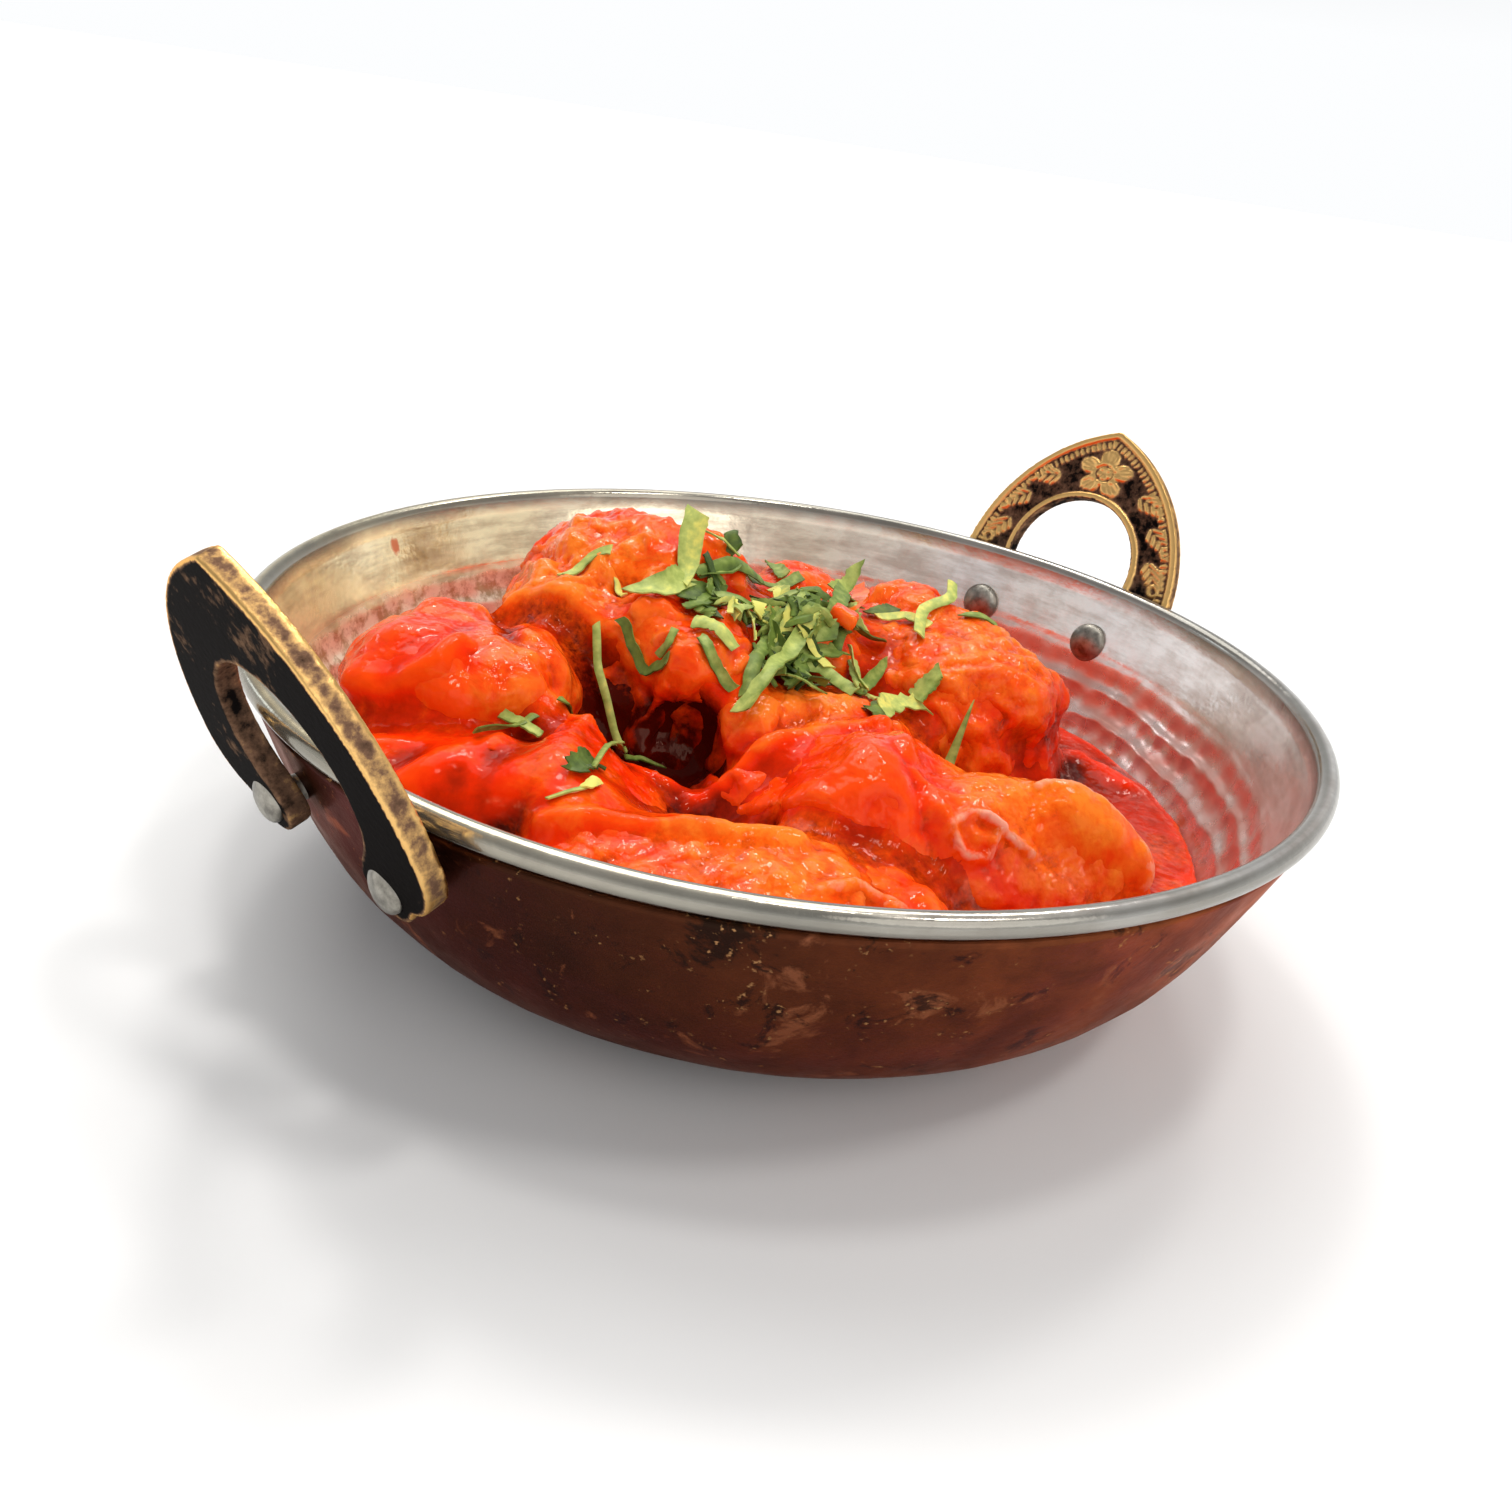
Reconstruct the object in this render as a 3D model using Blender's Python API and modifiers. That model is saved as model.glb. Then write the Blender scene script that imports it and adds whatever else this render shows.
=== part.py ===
"""A serving of chicken curry in a small karahi: a copper-jacketed steel bowl with two cast brass
handles, filled with pieces of chicken in thick sauce. Metres, +Z up. The origin is under the bowl's
axis at its flat base, and the handles stand on the X axis."""

import itertools
import math
from dataclasses import dataclass

import bmesh
import bpy
import numpy as np
from mathutils import Euler, Matrix, Vector, noise

MM = 0.001
GAP = 0.3 * MM

# Bowl: the outer wall is a cubic Bezier curve in (radius, height), from under the rim to the base.
WALL_CURVE = ((76.2, 36.3), (69.2, 16.3), (65.1, 3.9), (44.75, 0.0))
WALL_SECTIONS = 6
JACKET_THICKNESS = 0.8 * MM
STEEL_THICKNESS = 0.9 * MM
STEEL_DEPTH = JACKET_THICKNESS + GAP
INSIDE_DEPTH = STEEL_DEPTH + STEEL_THICKNESS
RIM_RADIUS = 76.0 * MM
RIM_HEIGHT = 38.63 * MM
RIM_ROLL = 1.5 * MM
RIM_SECTIONS = 6
RIM_START = 170
RIM_END = -50
TURN_STEPS = 32
FLAT_OF_TURN = math.cos(math.pi / TURN_STEPS)
TURN_MERGE = 0.05 * MM

# Handles: flat pointed horseshoes, in (across, up) of their own plane, whose origin is at rim height.
# An arc is (start, end, number of points), with the angles in degrees.
HANDLE_REACH = 77.6 * MM
HANDLE_LEAN = math.radians(20.8)
HANDLE_THICKNESS = 2.8 * MM
HANDLE_EDGE = 0.35 * MM
HANDLE_TOP = 27.5 * MM
HANDLE_HALF_WIDTH = 21.9 * MM
HANDLE_WIDEST = -3.3 * MM
SIDE_POINTS = 8
SHOULDER_RADIUS = 7.5 * MM
SHOULDER_ARC = (-22, -68, 3)
HOLE_RADIUS = 12.3 * MM
HOLE_HEIGHT = 1.9 * MM
HOLE_ARC = (-40.2, 90, 9)
FOOT_ACROSS = 12.0 * MM
FOOT_HEIGHT = -9.5 * MM
FOOT_RADIUS = 4.4 * MM
FOOT_ARC = (-35, -180, 7)
SHARP_ANGLE = math.radians(30)

# Rivets: a domed head inside the bowl, a flatter and smaller one on the handle's foot.
RIVET_INNER_HEIGHT = 29.6 * MM
SHANK_RADIUS = 1.7 * MM
DOME_RADIUS = 3.5 * MM
DOME_HEIGHT = 1.9 * MM
BUTTON_RADIUS = 2.9 * MM
BUTTON_HEIGHT = 0.9 * MM
RIVET_SIDES = 8
HEAD_CLEARANCE = 0.65 * MM
# Shares of a head's radius and height, from the outside of the rivet to its inside.
BUTTON_PROFILE = ((0, 1.0), (0.75, 0.8), (1.0, 0.3), (1.0, 0.0))
DOME_PROFILE = ((1.0, 0.0), (0.85, 0.5), (0.5, 0.88), (0, 1.0))

# Food: the sauce stands level, and each piece of chicken is modelled down to a little below it.
SAUCE_LEVEL = 16.0 * MM
PIECE_FLOOR = 14.0 * MM
PIECE_DETAIL = 3
LUMP_SCALE = 1.6
LUMP_DRIFT = Vector((7.3, 3.1, 5.7))
CUT_FLATNESS = 0.9
MOST_SWELL = 1.3


@dataclass(frozen=True)
class Piece:
    """One piece of chicken. Lengths in millimetres, angles in degrees.

    half is half its size along its own axes, before it is turned. squareness is 2 for an ellipsoid
    and more for a boxier lump, and lump is the share by which it swells and hollows. cuts are flat
    sides as (compass angle, elevation, distance from the centre).
    """

    name: str
    centre: tuple
    half: tuple
    turn: tuple = (0, 0, 0)
    squareness: float = 2.6
    lump: float = 0.1
    seed: int = 0
    cuts: tuple = ()
    detail: int = PIECE_DETAIL


PIECES = (
    Piece("chicken_peak", (-1, 32, 30), (20, 20, 16), (0, -4, 40), 2.6, 0.13, 1, ((128, 45, 19),)),
    Piece("chicken_left", (-38, 29, 25), (16, 14, 14), (0, 0, -50), 2.6, 0.1, 4),
    Piece("chicken_left_front", (-53, 18, 16), (16, 14, 11), (0, 12, -50), 2.4, 0.06, 12),
    Piece("chicken_centre_left", (-9, 14, 26), (12, 12, 14), (0, 0, 0), 2.6, 0.12, 7),
    Piece("chicken_wedge", (-35, -1, 22), (11, 13, 11), (0, 0, -50), 3.0, 0.04, 5, ((-50, 55, 5),)),
    Piece("chicken_middle", (-2, -6, 20), (20, 15, 11), (0, 0, 0), 2.6, 0.1, 6),
    Piece("chicken_top", (15, 10, 25), (13, 13, 14), (0, 0, 0), 2.6, 0.12, 8),
    Piece("chicken_back", (31, 25, 25), (11, 9, 12), (0, 0, 0), 2.8, 0.1, 9),
    Piece("chicken_right", (33, -3, 24), (17, 24, 15), (0, 0, 0), 2.6, 0.1, 3, ((-10, 50, 15),)),
    Piece(
        "chicken_front_right", (-5, -31, 18), (32, 13, 16), (0, 12, -45), 2.4, 0.06, 2, ((125, 50, 19),)
    ),
    Piece("chicken_front", (-41, -26, 18), (26, 15, 11), (0, 0, -50), 2.4, 0.06, 10),
    Piece("chicken_front_small", (-26, -38, 17), (13, 11, 9), (0, 0, -50), 2.6, 0.06, 11, detail=2),
)
PEPPER_CENTRE = Vector((13.5, 1.5, 39.8)) * MM
PEPPER_SIZE = (5.5 * MM, 4.5 * MM, 2.5 * MM)
PEPPER_EDGE = 0.5 * MM
PEPPER_TURN = Euler((0.35, 0.2, 0.6))

# Colour, metallic and roughness of each material.
FINISHES = {
    "steel": ((0.62, 0.60, 0.56), 1.0, 0.25),
    "copper": ((0.12, 0.035, 0.02), 0.9, 0.4),
    "brass": ((0.25, 0.15, 0.05), 1.0, 0.45),
    "rivet_steel": ((0.45, 0.43, 0.40), 1.0, 0.35),
    "sauce": ((0.62, 0.06, 0.005), 0.0, 0.15),
    "chicken": ((0.75, 0.09, 0.01), 0.0, 0.25),
    "pepper": ((0.8, 0.02, 0.01), 0.0, 0.2),
}


def clear_scene():
    for item in list(bpy.data.objects):
        bpy.data.objects.remove(item, do_unlink=True)


def new_collection(name):
    collection = bpy.data.collections.new(name)
    bpy.context.scene.collection.children.link(collection)
    return collection


def make_materials():
    made = {}
    for name, (colour, metallic, roughness) in FINISHES.items():
        material = bpy.data.materials.new(name)
        material.use_nodes = True
        shader = material.node_tree.nodes["Principled BSDF"]
        shader.inputs["Base Color"].default_value = (*colour, 1.0)
        shader.inputs["Metallic"].default_value = metallic
        shader.inputs["Roughness"].default_value = roughness
        material.diffuse_color = (*colour, 1.0)
        made[name] = material
    return made


def object_from_bmesh(name, shape, collection):
    mesh = bpy.data.meshes.new(name)
    shape.to_mesh(mesh)
    shape.free()
    mesh.shade_smooth()
    made = bpy.data.objects.new(name, mesh)
    collection.objects.link(made)
    return made


def wall_section(depth):
    """Points (radius, height) at this depth inside the outer wall, from under the rim to the base."""
    corners = [Vector(corner) * MM for corner in WALL_CURVE]
    points = []
    for step in range(WALL_SECTIONS + 1):
        t = step / WALL_SECTIONS
        s = 1 - t
        weights = (s**3, 3 * s * s * t, 3 * s * t * t, t**3)
        place = sum((w * c for w, c in zip(weights, corners)), Vector((0, 0)))
        slopes = (3 * s * s, 6 * s * t, 3 * t * t)
        along = sum(
            (w * (b - a) for w, a, b in zip(slopes, corners, corners[1:])), Vector((0, 0))
        )
        inward = Vector((along.y, -along.x)).normalized()
        points.append(place + inward * depth)
    points[-1].y = depth
    return points


def wall_radius(height, depth):
    """The radius at this height of the surface that lies this deep inside the outer wall."""
    section = wall_section(depth)[::-1]
    return float(np.interp(height, [p.y for p in section], [p.x for p in section]))


def turned(name, profile, collection):
    """A solid turned about Z from a profile that starts and ends on the axis or closes on itself."""
    shape = bmesh.new()
    points = [shape.verts.new((p[0], 0, p[1])) for p in profile]
    for first, second in zip(points, points[1:]):
        shape.edges.new((first, second))
    if profile[0][0] > 0:
        shape.edges.new((points[-1], points[0]))
    made = object_from_bmesh(name, shape, collection)
    screw = made.modifiers.new("turn", "SCREW")
    screw.steps = TURN_STEPS
    screw.render_steps = TURN_STEPS
    screw.use_merge_vertices = True
    screw.merge_threshold = TURN_MERGE
    return made


def arc_points(centre, radius, start, end, count):
    """Points on an arc, with the angles in degrees, both ends included."""
    angles = np.radians(np.linspace(start, end, count))
    return [(centre[0] + radius * math.cos(a), centre[1] + radius * math.sin(a)) for a in angles]


def build_steel_bowl(collection):
    inner = wall_section(INSIDE_DEPTH)[::-1]
    outer = wall_section(STEEL_DEPTH)
    roll = arc_points((RIM_RADIUS, RIM_HEIGHT), RIM_ROLL, RIM_START, RIM_END, RIM_SECTIONS)
    profile = [(0, INSIDE_DEPTH), *inner, *roll, *outer, (0, STEEL_DEPTH)]
    return turned("steel_bowl", profile, collection)


def build_copper_jacket(collection):
    inner = wall_section(JACKET_THICKNESS)[::-1]
    outer = wall_section(0)
    return turned("copper_jacket", [(0, JACKET_THICKNESS), *inner, *outer, (0, 0)], collection)


def handle_half_outline():
    """The right half of the horseshoe, from its point down the outer side and up round the hole."""
    rise = HANDLE_TOP - HANDLE_WIDEST
    side_radius = (HANDLE_HALF_WIDTH**2 + rise**2) / (2 * HANDLE_HALF_WIDTH)
    side_centre = (HANDLE_HALF_WIDTH - side_radius, HANDLE_WIDEST)
    top_angle = math.degrees(math.asin(rise / side_radius))
    shoulder = (HANDLE_HALF_WIDTH - SHOULDER_RADIUS, HANDLE_WIDEST)
    outline = arc_points(side_centre, side_radius, top_angle, 0, SIDE_POINTS)
    outline += arc_points(shoulder, SHOULDER_RADIUS, *SHOULDER_ARC)
    outline += arc_points((FOOT_ACROSS, FOOT_HEIGHT), FOOT_RADIUS, *FOOT_ARC)
    outline += arc_points((0, HOLE_HEIGHT), HOLE_RADIUS, *HOLE_ARC)
    return outline


def build_handle(name, side, collection):
    """A flat plate with eased edges, standing against the rim and leaning outwards."""
    half = handle_half_outline()
    mirrored = [(-x, y) for x, y in half[::-1]]
    outline = half[:-1] + mirrored[:-1]
    curve = bpy.data.curves.new(name, "CURVE")
    curve.dimensions = "2D"
    curve.fill_mode = "BOTH"
    curve.extrude = HANDLE_THICKNESS / 2 - HANDLE_EDGE
    curve.bevel_depth = HANDLE_EDGE
    curve.offset = -HANDLE_EDGE
    curve.bevel_resolution = 0
    spline = curve.splines.new("POLY")
    spline.points.add(len(outline) - 1)
    for point, (x, y) in zip(spline.points, outline):
        point.co = (x, y, 0, 1)
    spline.use_cyclic_u = True
    flat = bpy.data.objects.new(name, curve)
    collection.objects.link(flat)
    graph = bpy.context.evaluated_depsgraph_get()
    mesh = bpy.data.meshes.new_from_object(flat.evaluated_get(graph))
    bpy.data.objects.remove(flat, do_unlink=True)
    shape = bmesh.new()
    shape.from_mesh(mesh)
    bmesh.ops.remove_doubles(shape, verts=shape.verts[:], dist=1e-6)
    bmesh.ops.recalc_face_normals(shape, faces=shape.faces[:])
    bpy.data.meshes.remove(mesh)
    handle = object_from_bmesh(name, shape, collection)
    handle.data.set_sharp_from_angle(angle=SHARP_ANGLE)
    handle.matrix_world = handle_frame(side) @ Matrix.Translation((0, 0, HANDLE_THICKNESS / 2))
    return handle


def handle_frame(side):
    """The handle's plane: X across, Y up along the plate, Z outwards, with the origin on its inner face."""
    up = Vector((side * math.sin(HANDLE_LEAN), 0, math.cos(HANDLE_LEAN)))
    out = Vector((side * math.cos(HANDLE_LEAN), 0, -math.sin(HANDLE_LEAN)))
    across = up.cross(out)
    frame = Matrix((across, up, out)).transposed().to_4x4()
    frame.translation = Vector((side * HANDLE_REACH, 0, RIM_HEIGHT))
    return frame


def wall_slope(height, depth):
    """The wall's lean from the vertical at this height, in radians."""
    widening = wall_radius(height + MM, depth) - wall_radius(height - MM, depth)
    return math.atan2(widening, 2 * MM)


def rivet_ends(side, across):
    """Where the rivet's axis leaves the inside of the bowl and the outside of the handle's foot."""
    radius = wall_radius(RIVET_INNER_HEIGHT, INSIDE_DEPTH)
    inner = Vector((side * math.sqrt(radius**2 - across**2), side * across, RIVET_INNER_HEIGHT))
    outer = handle_frame(side) @ Vector((across, FOOT_HEIGHT, HANDLE_THICKNESS))
    return inner, outer


def rivet_frame(side, across):
    """The rivet's own frame: origin on the bowl's inner face, Z along the axis towards the handle."""
    inner, outer = rivet_ends(side, across)
    frame = (outer - inner).to_track_quat("Z", "Y").to_matrix().to_4x4()
    frame.translation = inner
    return frame


def height_of_seat(frame, point, normal, across, up):
    """The height along the frame's Z at which the line through (across, up) meets a plane."""
    turn = frame.to_3x3()
    start = frame @ Vector((across, up, 0))
    return (point - start).dot(normal) / (turn @ Vector((0, 0, 1))).dot(normal)


def build_rivet(name, side, across, collection):
    """A shank with two heads, each of which follows the slope of the face that it sits on."""
    frame = rivet_frame(side, across)
    inner, outer = rivet_ends(side, across)
    plate_out = handle_frame(side).to_3x3() @ Vector((0, 0, 1))
    lean = wall_slope(RIVET_INNER_HEIGHT, INSIDE_DEPTH)
    wall_out = Vector((inner.x, inner.y, 0)).normalized() * math.cos(lean)
    wall_out.z = -math.sin(lean)
    rings = [(r * BUTTON_RADIUS, h * BUTTON_HEIGHT, True) for r, h in BUTTON_PROFILE]
    rings += [(SHANK_RADIUS, 0, True), (SHANK_RADIUS, 0, False)]
    rings += [(r * DOME_RADIUS, h * DOME_HEIGHT, False) for r, h in DOME_PROFILE]
    shape = bmesh.new()
    loops = []
    for radius, height, outside in rings:
        loop = []
        for step in range(RIVET_SIDES if radius else 1):
            angle = math.tau * step / RIVET_SIDES
            x = radius * math.cos(angle)
            y = radius * math.sin(angle)
            if outside:
                z = height_of_seat(frame, outer, plate_out, x, y) + GAP + height
            else:
                z = height_of_seat(frame, inner, wall_out, x, y) - HEAD_CLEARANCE - height
            loop.append(shape.verts.new((x, y, z)))
        loops.append(loop)
    for upper, lower in zip(loops, loops[1:]):
        for step in range(RIVET_SIDES):
            ends = ((upper, step), (lower, step), (lower, step + 1), (upper, step + 1))
            corners = [loop[k % len(loop)] for loop, k in ends]
            shape.faces.new(dict.fromkeys(corners))
    bmesh.ops.recalc_face_normals(shape, faces=shape.faces[:])
    rivet = object_from_bmesh(name, shape, collection)
    rivet.matrix_world = frame
    return rivet


def build_rivet_cutter(name, side, across, collection):
    """The hole for a rivet's shank, long enough to pass both walls and the handle's foot."""
    inner, outer = rivet_ends(side, across)
    shape = bmesh.new()
    bmesh.ops.create_cone(
        shape,
        cap_ends=True,
        segments=RIVET_SIDES,
        radius1=SHANK_RADIUS + GAP,
        radius2=SHANK_RADIUS + GAP,
        depth=3 * (outer - inner).length,
    )
    cutter = object_from_bmesh(name, shape, collection)
    cutter.matrix_world = rivet_frame(side, across)
    return hide_cutter(cutter)


def hide_cutter(cutter):
    cutter.hide_render = True
    cutter.display_type = "WIRE"
    return cutter


def cut(target, cutter):
    modifier = target.modifiers.new("cut " + cutter.name, "BOOLEAN")
    modifier.operation = "DIFFERENCE"
    modifier.solver = "EXACT"
    modifier.object = cutter


def piece_shape(piece):
    """A boxy or round lump with broad swellings and flat cuts, pressed in by the wall of the bowl.

    Returns a bmesh in world space.
    """
    shape = bmesh.new()
    bmesh.ops.create_icosphere(shape, subdivisions=piece.detail, radius=1.0)
    turn = Euler([math.radians(a) for a in piece.turn]).to_matrix()
    centre = Vector(piece.centre) * MM
    half = Vector(piece.half) * MM
    drift = LUMP_DRIFT * piece.seed
    for vert in shape.verts:
        way = vert.co.normalized()
        power = piece.squareness
        reach = sum(abs(c) ** power for c in way) ** (-1 / power)
        reach *= 1 + piece.lump * 2 * noise.noise(way * LUMP_SCALE + drift)
        place = turn @ Vector([reach * w * h for w, h in zip(way, half)])
        for compass, elevation, distance in piece.cuts:
            flat = Vector((math.cos(math.radians(elevation)), 0, math.sin(math.radians(elevation))))
            flat.rotate(Euler((0, 0, math.radians(compass))))
            beyond = place.dot(flat) - distance * MM
            if beyond > 0:
                place -= flat * beyond * CUT_FLATNESS
        vert.co = centre + place
    press_to_wall(shape)
    return shape


def swollen(shape, thickness):
    """A copy of the shape with its surface pushed out, as the room that it needs in what lies round it."""
    copy = shape.copy()
    bmesh.ops.recalc_face_normals(copy, faces=copy.faces[:])
    copy.normal_update()
    swells = [min(vert.calc_shell_factor(), MOST_SWELL) for vert in copy.verts]
    for vert, swell in zip(copy.verts, swells):
        vert.co += vert.normal * thickness * swell
    return copy


def trim(shape, point, outward):
    """Takes away what lies beyond a plane and closes the cut."""
    found = bmesh.ops.bisect_plane(
        shape,
        geom=shape.verts[:] + shape.edges[:] + shape.faces[:],
        dist=1e-6,
        plane_co=point,
        plane_no=outward,
        clear_outer=True,
    )
    rim = [item for item in found["geom_cut"] if isinstance(item, bmesh.types.BMEdge)]
    if rim:
        bmesh.ops.edgeloop_fill(shape, edges=rim)


def part_neighbours(shapes):
    """Trims each two pieces that press on each other to a plane between them, leaving a gap."""
    planes = []
    for (first, one), (second, other) in itertools.combinations(zip(PIECES, shapes), 2):
        way = (Vector(second.centre) - Vector(first.centre)).normalized()
        end_of_first = max(vert.co.dot(way) for vert in one.verts)
        start_of_second = min(vert.co.dot(way) for vert in other.verts)
        if end_of_first + GAP > start_of_second:
            middle = (end_of_first + start_of_second) / 2
            planes.append((one, way * (middle - GAP / 2), way))
            planes.append((other, way * (middle + GAP / 2), -way))
    for shape, point, outward in planes:
        trim(shape, point, outward)


def press_to_wall(shape):
    """Moves every point that the bowl has no room for to just inside its steel."""
    section = wall_section(INSIDE_DEPTH + GAP)[::-1]
    heights = [point.y for point in section]
    radii = [point.x * FLAT_OF_TURN for point in section]
    for vert in shape.verts:
        limit = float(np.interp(vert.co.z, heights, radii))
        radius = math.hypot(vert.co.x, vert.co.y)
        if radius > limit:
            vert.co.x *= limit / radius
            vert.co.y *= limit / radius


def build_sauce(collection):
    """Sauce that fills the bowl to one level, before room is made in it for the chicken."""
    depth = INSIDE_DEPTH + GAP
    edge = (wall_radius(SAUCE_LEVEL, depth), SAUCE_LEVEL)
    below = [point for point in wall_section(depth) if point.y < SAUCE_LEVEL - MM]
    return turned("curry_sauce", [(0, SAUCE_LEVEL), edge, *below, (0, depth)], collection)


def build_pepper(collection):
    shape = bmesh.new()
    bmesh.ops.create_cube(shape, size=1.0)
    bmesh.ops.scale(shape, vec=PEPPER_SIZE, verts=shape.verts[:])
    bmesh.ops.bevel(
        shape,
        geom=shape.edges[:],
        offset=PEPPER_EDGE,
        segments=1,
        profile=0.5,
        affect="EDGES",
        material=-1,
    )
    pepper = object_from_bmesh("pepper_piece", shape, collection)
    pepper.location = PEPPER_CENTRE
    pepper.rotation_euler = PEPPER_TURN
    return pepper


def build_food(collection, cutters, materials):
    shapes = [piece_shape(piece) for piece in PIECES]
    sauce = build_sauce(collection)
    sauce.data.materials.append(materials["sauce"])
    down = Vector((0, 0, -1))
    for shape in shapes:
        trim(shape, Vector((0, 0, PIECE_FLOOR)), down)
    part_neighbours(shapes)
    for piece, shape in zip(PIECES, shapes):
        room = object_from_bmesh("room_for_" + piece.name, swollen(shape, GAP), cutters)
        cut(sauce, hide_cutter(room))
        made = object_from_bmesh(piece.name, shape, collection)
        made.data.materials.append(materials["chicken"])
    pepper = build_pepper(collection)
    pepper.data.materials.append(materials["pepper"])


def build_karahi(collection, cutters, materials):
    bowl = build_steel_bowl(collection)
    bowl.data.materials.append(materials["steel"])
    jacket = build_copper_jacket(collection)
    jacket.data.materials.append(materials["copper"])
    for side, word in ((-1, "left"), (1, "right")):
        handle = build_handle("handle_" + word, side, collection)
        handle.data.materials.append(materials["brass"])
        for number, across in enumerate((-FOOT_ACROSS, FOOT_ACROSS), start=1):
            name = f"rivet_{word}_{number}"
            rivet = build_rivet(name, side, across, collection)
            rivet.data.materials.append(materials["rivet_steel"])
            cutter = build_rivet_cutter("hole_for_" + name, side, across, cutters)
            for pierced in (bowl, jacket, handle):
                cut(pierced, cutter)


def main():
    clear_scene()
    parts = new_collection("chicken_curry")
    cutters = new_collection("cutters")
    materials = make_materials()
    build_karahi(parts, cutters, materials)
    build_food(parts, cutters, materials)


main()
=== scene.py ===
"""The looks of a serving of chicken curry in its karahi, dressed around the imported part.

Metres, +Z up, in the part's own frame: the origin is under the bowl's axis at its flat base, and the
handles stand on the X axis. Sizes that are easier to read in millimetres are multiplied by MM.
"""

from __future__ import annotations

import itertools
import logging
import math
from dataclasses import dataclass, field
from enum import Enum
from typing import Sequence

import bmesh
import bpy
import numpy as np
from mathutils import Matrix, Quaternion, Vector
from mathutils.bvhtree import BVHTree


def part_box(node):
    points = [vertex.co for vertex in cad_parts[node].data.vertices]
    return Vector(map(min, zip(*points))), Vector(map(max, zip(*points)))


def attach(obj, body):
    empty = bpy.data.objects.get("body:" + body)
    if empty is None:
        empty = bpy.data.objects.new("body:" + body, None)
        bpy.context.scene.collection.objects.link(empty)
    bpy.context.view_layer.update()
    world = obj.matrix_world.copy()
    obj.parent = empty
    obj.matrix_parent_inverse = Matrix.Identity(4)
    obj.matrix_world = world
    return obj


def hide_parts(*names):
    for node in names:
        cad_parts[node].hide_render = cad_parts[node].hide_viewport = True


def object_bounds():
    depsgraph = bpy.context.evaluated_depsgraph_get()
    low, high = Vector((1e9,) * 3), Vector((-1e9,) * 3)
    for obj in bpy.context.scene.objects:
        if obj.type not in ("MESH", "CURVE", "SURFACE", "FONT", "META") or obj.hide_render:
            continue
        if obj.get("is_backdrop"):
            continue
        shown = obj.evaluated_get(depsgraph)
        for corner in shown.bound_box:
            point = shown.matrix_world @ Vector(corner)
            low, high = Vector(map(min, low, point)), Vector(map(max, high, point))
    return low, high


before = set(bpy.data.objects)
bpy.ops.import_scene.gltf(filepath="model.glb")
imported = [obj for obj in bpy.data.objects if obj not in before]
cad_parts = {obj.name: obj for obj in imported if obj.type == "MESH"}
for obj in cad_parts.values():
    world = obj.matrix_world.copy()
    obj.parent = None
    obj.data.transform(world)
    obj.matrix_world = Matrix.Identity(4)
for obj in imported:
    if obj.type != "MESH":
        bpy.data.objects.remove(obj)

MM = 0.001
ROOT = "root"
WELD = 0.01 * MM
RIM_HEIGHT = 38.63 * MM
HAMMERED_TOP = 29 * MM
SAUCE_LEVEL = 16.0 * MM
Colour = tuple[float, float, float]
Shades = tuple[Colour, Colour, Colour]

logging.basicConfig(level=logging.INFO, format="%(message)s")
log = logging.getLogger("chicken_curry")


class Slot(Enum):
    """The record's material slots."""

    STEEL = "steel"
    COPPER = "copper"
    BRASS = "brass"
    RIVET = "rivet_steel"
    SAUCE = "sauce"
    CHICKEN = "chicken"
    PEPPER = "pepper"
    CORIANDER = "coriander"


class Side(Enum):
    """The end of the X axis that a handle stands at."""

    LEFT = -1
    RIGHT = 1


# ---------------------------------------------------------------------------
# Meshes and random fields
# ---------------------------------------------------------------------------


def unit(vectors: np.ndarray) -> np.ndarray:
    """The same directions with a length of 1, one a row."""
    return vectors / np.linalg.norm(vectors, axis=1)[:, None]


def from_axis(places: np.ndarray) -> np.ndarray:
    """Each point's distance from the Z axis."""
    return np.hypot(places[:, 0], places[:, 1])


def bearing(places: np.ndarray) -> np.ndarray:
    """Each point's angle about the Z axis, from X."""
    return np.arctan2(places[:, 1], places[:, 0])


def run_along(line: np.ndarray) -> np.ndarray:
    """How far along the line each of its points is."""
    return np.concatenate([[0], np.cumsum(np.linalg.norm(np.diff(line, axis=0), axis=1))])


def points_along(line: np.ndarray, at: np.ndarray) -> np.ndarray:
    """The points on a line at these distances from its start."""
    passed = run_along(line)
    return np.stack([np.interp(at, passed, column) for column in line.T], axis=1)


def running_mean(values: np.ndarray) -> np.ndarray:
    """Each value replaced by the mean of the seven round it."""
    return np.convolve(np.pad(values, 3, "edge"), np.ones(7) / 7, "valid")


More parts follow.
